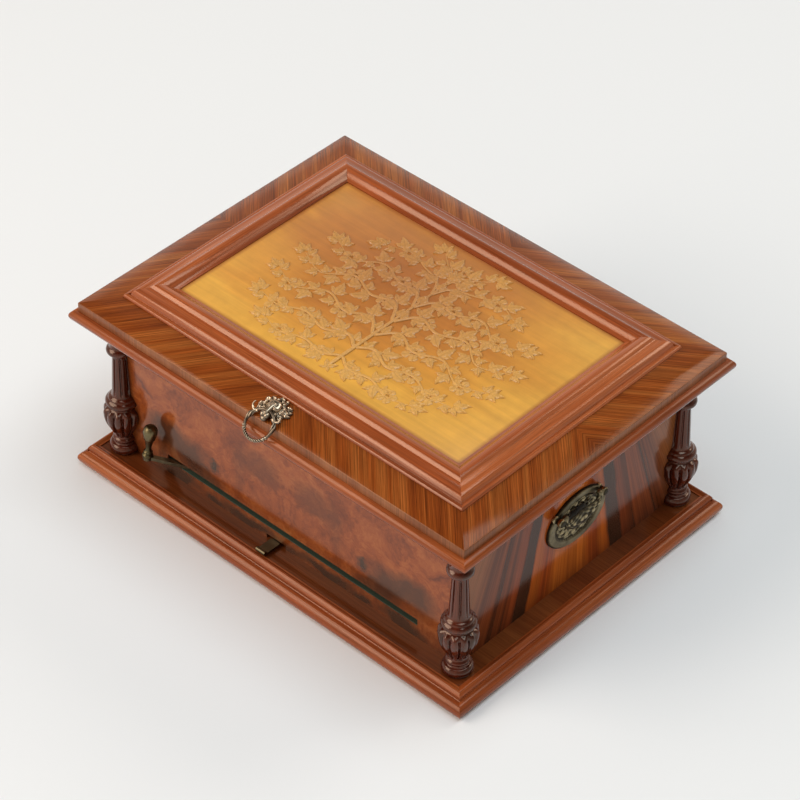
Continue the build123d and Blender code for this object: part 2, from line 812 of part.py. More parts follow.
with BuildPart() as spindle_wheel:
    toothed_disc((0, 0), gear_z, gear_outline(spindle_teeth, phase=spindle_phase))
    rod((0, 0), spindle_radius, (gear_bottom - 1, gear_z[1] + 1), Mode.SUBTRACT)
    with BuildSketch(Plane.XY.offset(gear_bottom)):
        with PolarLocations(20, 5):
            Circle(7)
    extrude(amount=gear_thickness, mode=Mode.SUBTRACT)
save(spindle_wheel, "spindle_wheel")

slot_count = 96
golden_turn = 137.5


def on_track(index, ahead):
    """Where a disc's projection, or the slot punched ahead of it, stands and turns."""
    track = star_first + (index * 7 % star_count) * star_pitch
    bearing = index * golden_turn
    centre = polar(math.hypot(track, ahead), bearing + math.degrees(math.atan2(ahead, track)))
    return Location((centre[0], centre[1], 0), (0, 0, bearing))


with BuildPart() as music_disc:
    rod((0, 0), disc_radius, (disc_bottom, disc_bottom + disc_thickness))
    rod((0, 0), 4.0 + running_gap, (disc_bottom - 1, disc_bottom + 2), Mode.SUBTRACT)
    rod((drive_pin_x, 0), 1.6, (disc_bottom - 1, disc_bottom + 2), Mode.SUBTRACT)
    with BuildSketch(Plane.XY.offset(disc_bottom - 1)):
        for index in range(slot_count):
            with Locations(on_track(index, 1.8)):
                Rectangle(1.4, 2.4)
    extrude(amount=3, mode=Mode.SUBTRACT)
    with BuildSketch(Plane.XY.offset(disc_bottom - projection_length)):
        for index in range(slot_count):
            with Locations(on_track(index, 0)):
                Rectangle(1.4, 0.9)
    extrude(amount=projection_length + disc_thickness / 2)
save(music_disc, "music_disc")

# ---------------------------------------------------------------- combs and star wheels

star_last = star_first + (star_count - 1) * star_pitch
star_shaft_radius = 1.5
star_shaft_ends = (star_first - 5.5, star_last + 5.5)

with BuildPart() as star_wheels:
    corners = []
    for index in range(12):
        corners.append(polar(star_radius, index * 30))
        corners.append(polar(5.4, index * 30 + 15))
    for index in range(star_count):
        middle = star_first + index * star_pitch
        star_plane = Plane(origin=(0, middle - 0.6, star_z), x_dir=(1, 0, 0), z_dir=(0, 1, 0))
        with BuildSketch(star_plane):
            Polygon(*corners, align=None)
            Circle(star_shaft_radius + running_gap, mode=Mode.SUBTRACT)
        extrude(amount=1.2)
save(star_wheels, "star_wheels")

with BuildPart() as star_shaft:
    for middle in (star_shaft_ends[0] + 1.5, star_shaft_ends[1] - 1.5):
        block((-6, 6), (middle - 1.5, middle + 1.5), (bedplate_top, star_z + 4.0))
        block((-11, 11), (middle - 1.5, middle + 1.5), (bedplate_top, bedplate_top + 4.0))
    middle = (star_shaft_ends[0] + star_shaft_ends[1]) / 2
    shaft_plane = Plane(origin=(0, middle, star_z), x_dir=(1, 0, 0), z_dir=(0, 1, 0))
    cross_rod(shaft_plane, star_shaft_radius, star_shaft_ends[1] - star_shaft_ends[0])
save(star_shaft, "star_shaft")

comb_bottom = star_z - 1.0
comb_top = comb_bottom + 2.4
comb_tip = star_radius + comb_tip_gap
comb_span = (star_first - 1.2, star_last + 1.2)
root_near = 36.0
root_far = 58.0
comb_screw_x = 72.0
comb_screw_radius = 2.0
comb_screw_depth = 10.0


def comb_root(y):
    """How far from the star wheels the teeth end, longer for the bass end."""
    share = (y - comb_span[0]) / (comb_span[1] - comb_span[0])
    return root_near + share * (root_far - root_near)


comb_screw_places = [comb_span[0] + 8 + index * 16.0 for index in range(5)]
for side, label in ((-1, "comb_left"), (1, "comb_right")):
    with BuildPart() as comb:
        comb_x = sorted((side * comb_tip, side * comb_back))
        block(comb_x, comb_span, (comb_bottom, comb_top))
        with BuildSketch(Plane.XY.offset(comb_bottom - 1)):
            for index in range(star_count - 1):
                gap_y = star_first + (index + 0.5) * star_pitch
                gap_length = comb_root(gap_y) - comb_tip + 1
                with Locations((side * (comb_root(gap_y) - gap_length / 2), gap_y)):
                    Rectangle(gap_length, 0.5)
        extrude(amount=comb_top - comb_bottom + 2, mode=Mode.SUBTRACT)
        for y in comb_screw_places:
            through = (comb_bottom - 1, comb_top + 1)
            rod((side * comb_screw_x, y), comb_screw_radius + 0.1, through, Mode.SUBTRACT)
    save(comb, label)

with BuildPart() as comb_bases:
    with BuildSketch(Plane.XY.offset(bedplate_top)):
        for side in (-1, 1):
            with BuildLine():
                Polyline(
                    (side * (comb_root(comb_span[0]) + 2), comb_span[0]),
                    (side * (comb_root(comb_span[1]) + 2), comb_span[1]),
                    (side * (comb_back + 4), comb_span[1]),
                    (side * (comb_back + 4), comb_span[0]),
                    close=True,
                )
            make_face()
    extrude(amount=comb_bottom - bedplate_top)
    for side in (-1, 1):
        for y in comb_screw_places:
            hole_z = (comb_bottom - comb_screw_depth, comb_bottom + 1)
            rod((side * comb_screw_x, y), comb_screw_radius, hole_z, Mode.SUBTRACT)
save(comb_bases, "comb_bases")


def headed_screw(centre, radius, z_range, head_height):
    """An upright screw with a slotted round head on top, in the part that is open."""
    head_top = z_range[1] + head_height
    rod(centre, radius, z_range)
    rod(centre, 2 * radius, (z_range[1], head_top))
    slot_x = (centre[0] - 3 * radius, centre[0] + 3 * radius)
    slot_y = (centre[1] - 0.5, centre[1] + 0.5)
    block(slot_x, slot_y, (head_top - head_height / 2, head_top + 1), Mode.SUBTRACT)


with BuildPart() as cabinet_screws:
    for centre in foot_plate_holes:
        screw_z = (deck_z - wood_screw_depth, lower_plate_top)
        headed_screw(centre, wood_screw_radius, screw_z, 2.4)
    for centre in pillar_places:
        headed_screw(centre, bolt_radius, (bedplate_bottom - bolt_depth, bedplate_top), 3.0)
    for side in (-1, 1):
        for y in comb_screw_places:
            screw_z = (comb_bottom - comb_screw_depth, comb_top)
            headed_screw((side * comb_screw_x, y), comb_screw_radius, screw_z, 2.6)
        for hole in hinge_holes(side):
            rod(hole, hinge_screw_radius, (hinge_z - hinge_screw_length, hinge_z - 0.25))
save(cabinet_screws, "cabinet_screws")

# ---------------------------------------------------------------- governor

cheek_places = (governor_x - 19.0, governor_x + 19.0)
cheek_half = 1.5
worm_wheel_z = (worm_z - 1.5, worm_z + 1.5)
worm_length = 22.0
worm_lead = worm_starts * math.pi * tooth_module
worm_root = worm_radius - 1.4
fan_radius = 13.0
fan_shaft_radius = 1.8
# The worm wheel has a gap, not a tooth, facing the worm.
worm_wheel_phase = 90.0 + 180 / worm_wheel_teeth

with BuildPart() as governor_arbor:
    rod(governor_centre, 2.0, (deck_z + 0.5, lower_plate_top + 1))
    rod(governor_centre, 3.0, (lower_plate_top + 0.2, worm_wheel_z[1] + 1))
    rod(governor_centre, brake_radius, (stop_z - 0.5, stop_z + stop_thickness + 1))
    pinion = gear_outline(pinion_teeth, 0.36, pinion_phase, 0.7, 1.2)
    toothed_disc(governor_centre, (gear_z[0] - 2, gear_z[1] + 2), pinion)
    rod(governor_centre, 2.0, (worm_wheel_z[1] + 1, worm_wheel_z[1] + 8))
save(governor_arbor, "governor_arbor")

with BuildPart() as worm_wheel:
    wheel = gear_outline(worm_wheel_teeth, 0.3, worm_wheel_phase, 0.5, 1.2)
    toothed_disc(governor_centre, worm_wheel_z, wheel)
    rod(governor_centre, 3.0, (worm_wheel_z[0] - 1, worm_wheel_z[1] + 1), Mode.SUBTRACT)
save(worm_wheel, "worm_wheel")



def worm_thread(turn):
    """One thread of the worm, wound upwards about the Z axis from a given bearing."""
    with BuildPart() as thread:
        with BuildLine() as path:
            Helix(worm_lead, worm_length, worm_root)
        start = path.line @ 0
        along = path.line % 0
        with BuildSketch(Plane(origin=start, x_dir=(0, 0, 1), z_dir=along)) as section:
            with BuildLine():
                Polyline((-0.75, -0.4), (-0.35, 2.0), (0.35, 2.0), (0.75, -0.4), close=True)
            make_face()
        sweep(section.sketch, path=path.line, is_frenet=True)
    return thread.part.rotate(Axis.Z, turn)


# Half way along the worm one thread faces the wheel, where the wheel has its gap.
first_turn = -90.0 - 360.0 * worm_length / 2 / worm_lead
worm_place = Location((governor_x - worm_length / 2, worm_y, worm_z), (0, 90, 0))

with BuildPart() as fan_worm:
    with Locations(worm_place):
        for index in range(worm_starts):
            add(worm_thread(first_turn + index * 360 / worm_starts))
    worm_middle = Plane(origin=(governor_x, worm_y, worm_z), x_dir=(0, 1, 0), z_dir=(1, 0, 0))
    cross_rod(worm_middle, worm_root + 0.1, worm_length + 2)
    fan_shaft_ends = (cheek_places[0] - 3.0, fan_x + 7.0)
    middle = (fan_shaft_ends[0] + fan_shaft_ends[1]) / 2
    shaft_plane = Plane(origin=(middle, worm_y, worm_z), x_dir=(0, 1, 0), z_dir=(1, 0, 0))
    cross_rod(shaft_plane, fan_shaft_radius, fan_shaft_ends[1] - fan_shaft_ends[0])
save(fan_worm, "fan_worm")

with BuildPart() as governor_fan:
    fan_plane = Plane(origin=(fan_x, worm_y, worm_z), x_dir=(0, 1, 0), z_dir=(1, 0, 0))
    cross_rod(fan_plane, 3.6, 10.0)
    with BuildSketch(fan_plane):
        Rectangle(2 * fan_radius, 0.8)
    extrude(amount=5.0, both=True)
    cross_rod(fan_plane, fan_shaft_radius, 12.0, Mode.SUBTRACT)
save(governor_fan, "governor_fan")

with BuildPart() as governor_frame:
    bridge_z = (worm_wheel_z[1] + 4.0, worm_wheel_z[1] + 7.0)
    for middle in cheek_places:
        cheek_x = (middle - cheek_half, middle + cheek_half)
        block(cheek_x, (worm_y - 7, worm_y + 7), (bedplate_top, bridge_z[1]))
        block(cheek_x, (worm_y + 7, worm_y + 15), (bedplate_top, bedplate_top + 3))
    bridge_x = (cheek_places[0] - cheek_half, cheek_places[1] + cheek_half)
    block(bridge_x, (governor_y - 7, worm_y - 3), bridge_z)
    rod(governor_centre, 2.0 + running_gap, (bridge_z[0] - 1, bridge_z[1] + 1), Mode.SUBTRACT)
    cross_rod(worm_middle, fan_shaft_radius + running_gap, 60, Mode.SUBTRACT)
save(governor_frame, "governor_frame")

# ---------------------------------------------------------------- start and stop lever

brake_distance = math.dist(stop_pivot, governor_centre)
brake_bearing = math.degrees(
    math.atan2(governor_centre[1] - stop_pivot[1], governor_centre[0] - stop_pivot[0])
)
pad_bearing = brake_bearing - math.degrees(math.asin((brake_radius + 0.4) / brake_distance))
neck_half = 4.0
tab_half = 5.7
tab_out = -172.5
step_y = -inner_half_y + 1.4

with BuildPart() as stop_lever:
    with BuildSketch(Plane.XY.offset(stop_z)):
        with Locations(stop_pivot):
            Circle(8.0)
        with BuildLine():
            Polyline(
                (stop_pivot[0] - neck_half, stop_pivot[1]),
                (stop_pivot[0] - neck_half, step_y),
                (stop_pivot[0] + neck_half, step_y),
                (stop_pivot[0] + neck_half, stop_pivot[1]),
                close=True,
            )
        make_face()
        with BuildLine():
            Polyline(
                polar(8.0, pad_bearing + 60, stop_pivot),
                polar(brake_distance - 22, pad_bearing - 1, stop_pivot),
                polar(brake_distance - 14, pad_bearing, stop_pivot),
                polar(brake_distance + 4, pad_bearing, stop_pivot),
                polar(brake_distance + 3, pad_bearing - 5, stop_pivot),
                polar(8.0, pad_bearing - 80, stop_pivot),
                close=True,
            )
        make_face()
    extrude(amount=stop_thickness)
    neck_x = (stop_pivot[0] - neck_half, stop_pivot[0] + neck_half)
    block(neck_x, (step_y, step_y + stop_thickness), (tab_z, stop_z + stop_thickness))
    block(neck_x, (-case_half_y - 1, step_y + stop_thickness), (tab_z, tab_z + stop_thickness))
    tab_x = (stop_pivot[0] - tab_half, stop_pivot[0] + tab_half)
    block(tab_x, (tab_out, -case_half_y - 1), (tab_z, tab_z + stop_thickness))
    curl_plane = Plane(origin=(stop_pivot[0], tab_out, tab_z + 2.2), x_dir=(0, 1, 0), z_dir=(1, 0, 0))
    cross_rod(curl_plane, 2.2, 2 * tab_half)
    through = (stop_z - 2, stop_z + stop_thickness + 2)
    rod(stop_pivot, stop_pin_radius + running_gap, through, Mode.SUBTRACT)
save(stop_lever, "stop_lever")

# ---------------------------------------------------------------- pressure bar

bar_half = 6.0
bar_front = -128.0
bar_pin_radius = 2.0
eye_radius = 4.0
cheek_in = 7.0

with BuildPart() as pressure_bar:
    bar_z = (bar_bottom, bar_bottom + bar_thickness)
    block((-bar_half, bar_half), (bar_front - 5, bar_hinge_y), bar_z)
    rod((0, 0), 15.0, bar_z)
    rod((0, 0), 6.0, (bar_bottom - 1, bar_z[1] + 1), Mode.SUBTRACT)
    eye_plane = Plane(origin=(0, bar_hinge_y, bar_hinge_z), x_dir=(0, 1, 0), z_dir=(1, 0, 0))
    cross_rod(eye_plane, eye_radius, 2 * bar_half)
    cross_rod(eye_plane, bar_pin_radius + running_gap, 30, Mode.SUBTRACT)
    for place in roller_places.values():
        for ear in (-3.2, 3.2):
            ear_y = (place + ear - 1.0, place + ear + 1.0)
            block((-3, 3), ear_y, (roller_z - 2.8, bar_bottom))
        ear_plane = Plane(origin=(0, place, roller_z), x_dir=(1, 0, 0), z_dir=(0, 1, 0))
        cross_rod(ear_plane, roller_pin_radius, 8.6)
    with BuildSketch(Plane(origin=(0, bar_front, bar_z[1]))):
        Circle(5)
    extrude(amount=2)
    with BuildSketch(Plane(origin=(0, bar_front, bar_z[1] + 2))):
        Circle(3.5)
    extrude(amount=7, taper=-12)
save(pressure_bar, "pressure_bar")

for name, place in roller_places.items():
    with BuildPart() as roller:
        roller_plane = Plane(origin=(0, place, roller_z), x_dir=(1, 0, 0), z_dir=(0, 1, 0))
        cross_rod(roller_plane, roller_radius, 4.0)
        cross_rod(roller_plane, roller_pin_radius + running_gap, 6.0, Mode.SUBTRACT)
    save(roller, "pressure_roller_" + name)

with BuildPart() as pressure_bar_supports:
    for side in (-1, 1):
        cheek_x = sorted((side * cheek_in, side * (cheek_in + 3)))
        block(cheek_x, (bar_hinge_y - 5, bar_hinge_y + 5), (bedplate_top, bar_hinge_z + 5))
        fork_x = sorted((side * (bar_half + 0.5), side * 9))
        block(fork_x, (bar_front - 5, bar_front + 3), (bar_bottom - 0.3, bar_bottom + 3))
    foot_y = (bar_hinge_y - 6, bar_hinge_y + 6)
    block((-cheek_in - 3, cheek_in + 3), foot_y, (bedplate_top, bedplate_top + 5))
    cross_rod(eye_plane, bar_pin_radius, 2 * cheek_in + 8)
    block((-9, 9), (bar_front - 5, bar_front + 3), (bedplate_top, bar_bottom - 0.3))
save(pressure_bar_supports, "pressure_bar_supports")

# ---------------------------------------------------------------- side handles

plate_thickness = 2.2
pivot_radius = 2.0
bail_width = 7.0
bail_thickness = 4.4
bail_drop = 21.0


def side_plane(side, out):
    """A plane that faces outwards on a side of the case, centred on the handle."""
    x = side * (case_half_x + out)
    return Plane(origin=(x, handle_y, handle_z), x_dir=(0, side, 0), z_dir=(side, 0, 0))


def handle_plate(side):
    """An oval dished plate with a raised rim, a boss and two pierced posts."""
    pivot_up = handle_pivot_z - handle_z
    with BuildPart() as plate:
        with BuildSketch(side_plane(side, 0)):
            Ellipse(handle_half_y, handle_half_z)
        extrude(amount=plate_thickness)
        with BuildSketch(side_plane(side, plate_thickness)):
            Ellipse(handle_half_y - 1.5, handle_half_z - 1.5)
            Ellipse(handle_half_y - 6.5, handle_half_z - 6.5, mode=Mode.SUBTRACT)
        extrude(amount=1.8)
        with BuildSketch(side_plane(side, plate_thickness)):
            for end in (-1, 1):
                with Locations((end * (handle_pivot_span + 4.0), pivot_up - 2)):
                    Circle(4.0)
        extrude(amount=handle_pivot_out + 1.0)
        with BuildSketch(side_plane(side, plate_thickness)):
            with Locations((0, pivot_up - 3)):
                Ellipse(11, 6)
        extrude(amount=2.4)
        x = side * (case_half_x + handle_pivot_out)
        pivot_plane = Plane(
            origin=(x, handle_y, handle_pivot_z), x_dir=(0, 0, 1), z_dir=(0, 1, 0)
        )
        cross_rod(pivot_plane, pivot_radius + running_gap, 90, Mode.SUBTRACT)
    return plate.part


def handle_bail(side):
    """A drop handle: a curved bar that hangs from two trunnions."""
    pivot_up = handle_pivot_z - handle_z
    span = handle_pivot_span - 2.5
    with BuildPart() as bail:
        with BuildSketch(side_plane(side, handle_pivot_out - bail_thickness / 2)):
            with BuildLine():
                Line((-span, pivot_up + 2), (-span, pivot_up - 4))
                Spline(
                    (-span, pivot_up - 4),
                    (0, pivot_up - bail_drop),
                    (span, pivot_up - 4),
                    tangents=((0.1, -1), (0.1, 1)),
                )
                Line((span, pivot_up - 4), (span, pivot_up + 2))
                Line((span, pivot_up + 2), (span - bail_width, pivot_up + 2))
                Line((span - bail_width, pivot_up + 2), (span - bail_width, pivot_up - 3))
                Spline(
                    (span - bail_width, pivot_up - 3),
                    (0, pivot_up - bail_drop + bail_width),
                    (-span + bail_width, pivot_up - 3),
                    tangents=((-0.1, -1), (-0.1, 1)),
                )
                Line((-span + bail_width, pivot_up - 3), (-span + bail_width, pivot_up + 2))
                Line((-span + bail_width, pivot_up + 2), (-span, pivot_up + 2))
            make_face()
        extrude(amount=bail_thickness)
        x = side * (case_half_x + handle_pivot_out)
        for end in (-1, 1):
            middle = handle_y + end * (span + 0.5)
            trunnion = Plane(origin=(x, middle, handle_pivot_z), x_dir=(0, 0, 1), z_dir=(0, 1, 0))
            cross_rod(trunnion, pivot_radius, 9)
    return bail


with BuildPart() as handle_plates:
    for side in (-1, 1):
        add(handle_plate(side))
save(handle_plates, "handle_plates")
for side, label in ((-1, "left"), (1, "right")):
    save(handle_bail(side), "handle_bail_" + label)

# ---------------------------------------------------------------- lion mask and ring

band_slope = math.degrees(
    math.atan2(band_top - lid_edge_top, band_inset - lid_edge_inset)
)
mask_inset = mask_y + cornice_half_y
mask_z = lid_edge_top + (mask_inset - lid_edge_inset) * math.tan(math.radians(band_slope))
mask_plane = Plane(origin=(0, mask_y, mask_z)).rotated((band_slope, 0, 0))

pivot_plane = Plane(origin=(0, ring_pivot_y, ring_pivot_z), x_dir=(0, 1, 0), z_dir=(1, 0, 0))

with BuildPart() as pull_mask:
    with BuildSketch(mask_plane.offset(-1)):
        Ellipse(17.0, 12.0)
    extrude(amount=3.2)
    with Locations((0, mask_y + 3.0, mask_z)):
        Sphere(9.0)
    with BuildSketch(Plane(origin=(0, mask_y, mask_z + 2), x_dir=(1, 0, 0), z_dir=(0, -1, 0.5))):
        Ellipse(4.8, 4.6)
    extrude(amount=9)
    with Locations((0, ring_pivot_y + 0.4, ring_pivot_z - 0.4)):
        Sphere(4.6)
    with Locations((0, ring_pivot_y - 2.4, ring_pivot_z - 5.6)):
        Sphere(3.4)
    for side in (-1, 1):
        with Locations((side * 8.0, mask_y + 6, mask_z + 4)):
            Sphere(3.4)
    for index in range(mane_locks):
        bearing = math.radians((index + 0.5) * 360 / mane_locks)
        lock = mask_plane.offset(1.0) * Pos(16.4 * math.cos(bearing), 11.0 * math.sin(bearing))
        with Locations(lock):
            Sphere(2.8)
    split(bisect_by=mask_plane, keep=Keep.TOP)
    cross_rod(pivot_plane, ring_wire + 1.0, 16, Mode.SUBTRACT)
save(pull_mask, "pull_mask")

slope = math.radians(ring_slope)
hang = (0, -math.cos(slope), -math.sin(slope))
ring_centre = (0, ring_pivot_y + ring_radius * hang[1], ring_pivot_z + ring_radius * hang[2])
ring_plane = Plane(origin=ring_centre, x_dir=(1, 0, 0), z_dir=(0, -math.sin(slope), math.cos(slope)))

with BuildPart() as pull_ring:
    with Locations(ring_plane):
        Torus(ring_radius, ring_wire)
        for side in (-1, 1):
            with Locations((side * 16.2, 8.6, 0)):
                Sphere(2.0)
save(pull_ring, "pull_ring")

# ---------------------------------------------------------------- lid stay

# The stud on the case and the pin on the lid stand on one circle about the hinge, so the
# slotted link between them turns by exactly half as much as the lid does.
pin_z = 196.0
stud_z = 175.0
pin_y = hinge_y - math.sqrt(stay_radius**2 - (hinge_z - pin_z) ** 2)
stud_y = hinge_y - math.sqrt(stay_radius**2 - (hinge_z - stud_z) ** 2)
stay_down = math.atan2(stud_z - pin_z, stud_y - pin_y)
closed_reach = math.dist((pin_y, pin_z), (stud_y, stud_z))
closed_angle = 2 * math.asin(closed_reach / 2 / stay_radius)
open_reach = 2 * stay_radius * math.sin((closed_angle + math.radians(lid_opening)) / 2)
stay_pin_radius = 2.0
stay_half = 4.2
stay_thickness = 2.0
pin_plane = Plane(origin=(stay_x, pin_y, pin_z), x_dir=(0, 1, 0), z_dir=(1, 0, 0))
stud_plane = Plane(origin=(stay_x, stud_y, stud_z), x_dir=(0, 1, 0), z_dir=(1, 0, 0))
link_plane = Plane(
    origin=(stay_x - stay_thickness / 2, pin_y, pin_z),
    x_dir=(0, math.cos(stay_down), math.sin(stay_down)),
    z_dir=(1, 0, 0),
)

with BuildPart() as lid_stay_link:
    slot_start = closed_reach - 1.0
    slot_end = open_reach + 1.0
    with BuildSketch(link_plane):
        with Locations((slot_end / 2, 0)):
            SlotCenterToCenter(slot_end, 2 * stay_half)
        with Locations(((slot_start + slot_end) / 2, 0)):
            SlotCenterToCenter(slot_end - slot_start, 2 * stay_pin_radius + 0.3, mode=Mode.SUBTRACT)
        Circle(stay_pin_radius + running_gap, mode=Mode.SUBTRACT)
    extrude(amount=stay_thickness)
save(lid_stay_link, "lid_stay_link")


def stay_bracket(plane, y, z_range, wall_x):
    """A small plate on an upright face with a headed pin for the stay."""
    with BuildPart() as bracket:
        block((wall_x - 1.8, wall_x), (y - 9, y + 9), z_range)
        near = stay_x - stay_thickness / 2 - 2.0
        span = wall_x - 1.0 - near
        with BuildSketch(plane.offset(near - stay_x)):
            Circle(stay_pin_radius)
        extrude(amount=span)
        with BuildSketch(plane.offset(near - stay_x)):
            Circle(stay_pin_radius + 1.4)
        extrude(amount=1.5)
    return bracket


lid_bracket_z = (lid_bottom + 0.4, lid_board_bottom - lining_thickness - 0.2)
save(stay_bracket(pin_plane, pin_y, lid_bracket_z, cornice_half_x - frame_inset), "stay_lid_bracket")
save(stay_bracket(stud_plane, stud_y, (stud_z - 8, case_top - 0.5), inner_half_x), "stay_case_bracket")

print("governor axis", round(governor_x, 3), round(governor_y, 3))
print("worm axis y, z", round(worm_y, 3), worm_z)
print("hinge axis y, z", round(hinge_y, 3), hinge_z)
print("stay pin y, z", round(pin_y, 3), pin_z, "stud y, z", round(stud_y, 3), stud_z)
print("stay slot", round(slot_start, 2), round(slot_end, 2))
print("lever pawl axis", [round(v, 3) for v in polar(pawl_reach, lever_rest, winding_centre)])
print("click axis", [round(v, 3) for v in polar(pawl_reach, click_bearing, winding_centre)])
print("roller height", round(roller_z, 3), "winding axis y", winding_y)
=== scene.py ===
# %% [markdown]
# # A wind-up disc music box
#
# This lesson dresses the measured frame of a table-top disc music box: a walnut case between four
# turned columns, a mitred lid with a raised golden panel, bronze drop handles and a lion-mask pull.
# The frame holds every solid and every hinge. Here each visible surface gets its finish, and the
# turned, moulded and carved pieces are made again as smooth surfaces in the same places.

# %% Load the frame
import json
import math

import bmesh
import bpy
import numpy as np
from mathutils import Matrix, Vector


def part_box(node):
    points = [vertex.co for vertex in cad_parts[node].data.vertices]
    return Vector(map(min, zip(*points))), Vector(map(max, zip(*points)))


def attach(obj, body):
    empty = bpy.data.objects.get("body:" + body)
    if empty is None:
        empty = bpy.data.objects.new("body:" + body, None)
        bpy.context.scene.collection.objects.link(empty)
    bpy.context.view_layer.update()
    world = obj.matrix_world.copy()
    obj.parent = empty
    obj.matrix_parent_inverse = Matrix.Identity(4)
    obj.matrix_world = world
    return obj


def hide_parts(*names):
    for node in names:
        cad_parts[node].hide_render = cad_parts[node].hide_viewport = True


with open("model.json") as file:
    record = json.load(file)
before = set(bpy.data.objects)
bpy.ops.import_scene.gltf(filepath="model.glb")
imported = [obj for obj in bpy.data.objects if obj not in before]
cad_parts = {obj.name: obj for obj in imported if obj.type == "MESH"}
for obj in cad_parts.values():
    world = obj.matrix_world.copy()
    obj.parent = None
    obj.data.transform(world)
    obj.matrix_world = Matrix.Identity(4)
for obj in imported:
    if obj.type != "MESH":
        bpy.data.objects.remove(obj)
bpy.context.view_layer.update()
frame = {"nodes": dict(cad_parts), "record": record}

# %% [markdown]
# ## The camera
#
# A long lens from well above and to the right of the front flattens the perspective, as a studio
# lens does, so the lid's far edge is nearly as long as its near one. The camera is described the
# way it is set up in a studio: how far round, how high, how far away and how tilted.

# %% Stand the camera
camera_round = math.radians(42.24)
camera_height = math.radians(41.29)
camera_tilt = math.radians(0.83)
camera_place = np.array([0.0001, -0.0557, 2.973])
aim_height = 0.188
lens_mm = 143.69

back = np.array([
    math.sin(camera_round) * math.cos(camera_height),
    -math.cos(camera_round) * math.cos(camera_height),
    math.sin(camera_height),
])
level = np.cross([0.0, 0.0, 1.0], back)
level = level / np.linalg.norm(level)
rise = np.cross(back, level)
right = math.cos(camera_tilt) * level + math.sin(camera_tilt) * rise
up = -math.sin(camera_tilt) * level + math.cos(camera_tilt) * rise
turn = np.stack([right, up, back])
spot = turn.T @ camera_place + np.array([0.0, 0.0, aim_height])

camera_data = bpy.data.cameras.new("camera")
camera_data.lens = lens_mm
camera_data.sensor_width = 36.0
camera_data.clip_end = 50.0
camera = bpy.data.objects.new("camera", camera_data)
bpy.context.scene.collection.objects.link(camera)


def stand_at(thing, place, axes):
    """Puts a lamp or a camera at a place, with its right, up and back axes as the columns."""
    stand = np.eye(4)
    stand[:3, :3] = axes
    stand[:3, 3] = place
    thing.matrix_world = Matrix(stand.tolist())


stand_at(camera, spot, turn.T)
bpy.context.scene.camera = camera
print("camera at", spot.round(3))

# %% [markdown]
# ## Small tools for finishes
#
# A finish is a chain of procedural nodes that ends in one Principled shader. Numbers that are the
# same all over are set on the shader itself. Only what changes over the surface is a chain.

# %% Node helpers


def start_finish(name, **settings):
    """A new material with the given sockets set. Returns it with its node tree and its shader."""
    finish = bpy.data.materials.new(name)
    finish.use_nodes = True
    shader = finish.node_tree.nodes["Principled BSDF"]
    for socket, value in settings.items():
        shader.inputs[socket.replace("_", " ")].default_value = value
    return finish, finish.node_tree, shader


def put(tree, kind, inputs=None, **settings):
    """Adds one node. An input given as a socket is linked, and anything else is set."""
    node = tree.nodes.new("ShaderNode" + kind)
    for key, value in settings.items():
        setattr(node, key, value)
    for key, value in (inputs or {}).items():
        if isinstance(value, bpy.types.NodeSocket):
            tree.links.new(value, node.inputs[key])
        else:
            node.inputs[key].default_value = value
    return node


def object_place(tree):
    """Where a point stands in its object, in metres."""
    return put(tree, "TexCoord").outputs["Object"]


def along(tree, vector, axis):
    """One coordinate of a vector."""
    return put(tree, "SeparateXYZ", {0: vector}).outputs[axis]


def stretch(tree, vector, scale, location=(0, 0, 0)):
    """The coordinates scaled differently along each axis, then shifted."""
    settings = {"Vector": vector, "Location": location, "Scale": scale}
    return put(tree, "Mapping", settings).outputs["Vector"]


def noise(tree, vector, scale=1.0, detail=4.0, roughness=0.55, distortion=0.0):
    """Cloudy values about a half."""
    settings = {"Vector": vector, "Scale": scale, "Detail": detail, "Roughness": roughness}
    return put(tree, "TexNoise", {**settings, "Distortion": distortion}).outputs[0]


def spread(tree, value, low, high, out_low=0.0, out_high=1.0):
    """Stretches the values between two limits over two others, and clamps the rest."""
    limits = {"From Min": low, "From Max": high, "To Min": out_low, "To Max": out_high}
    return put(tree, "MapRange", {"Value": value, **limits}).outputs[0]


def figure(tree, operation, first, second=0.0):
    """One sum on two values."""
    return put(tree, "Math", {0: first, 1: second}, operation=operation).outputs[0]


def blend_colours(tree, share, first, second, how="MIX"):
    """Mixes two colours by a share."""
    inputs = {0: share, 6: first, 7: second}
    return put(tree, "Mix", inputs, data_type="RGBA", blend_type=how).outputs[2]


def shade(tree, colour, value, low, high, out_low, out_high):
    """Multiplies a colour by a spread value."""
    factor = spread(tree, value, low, high, out_low, out_high)
    return blend_colours(tree, 1.0, colour, factor, "MULTIPLY")


def ramp(tree, value, stops):
    """Colours at places between 0 and 1."""
    node = put(tree, "ValToRGB", {"Fac": value})
    ends = node.color_ramp.elements
    for end, (place, colour) in ((0, stops[0]), (1, stops[-1])):
        ends[end].position = place
        ends[end].color = (*colour, 1.0)
    for place, colour in stops[1:-1]:
        ends.new(place).color = (*colour, 1.0)
    return node.outputs["Color"]


def cover(tree, shader, colour, height, distance, strength, roughness=None):
    """Gives a shader its colour, lets a height change the way the surface faces and, where one is
    given, lets the roughness change too."""
    tree.links.new(colour, shader.inputs["Base Color"])
    bump = put(tree, "Bump", {"Height": height, "Distance": distance, "Strength": strength})
    tree.links.new(bump.outputs["Normal"], shader.inputs["Normal"])
    if roughness is not None:
        tree.links.new(roughness, shader.inputs["Roughness"])


print("finish tools ready")

# %% [markdown]
# ## The studio
#
# Polished wood shows its surroundings as much as its own colour. A pale floor fills the lower half
# of every reflection, and a few large soft panels of light give the mouldings their long streaks.
# Small lamps would give hard spots instead, so the panels are larger than the box is.

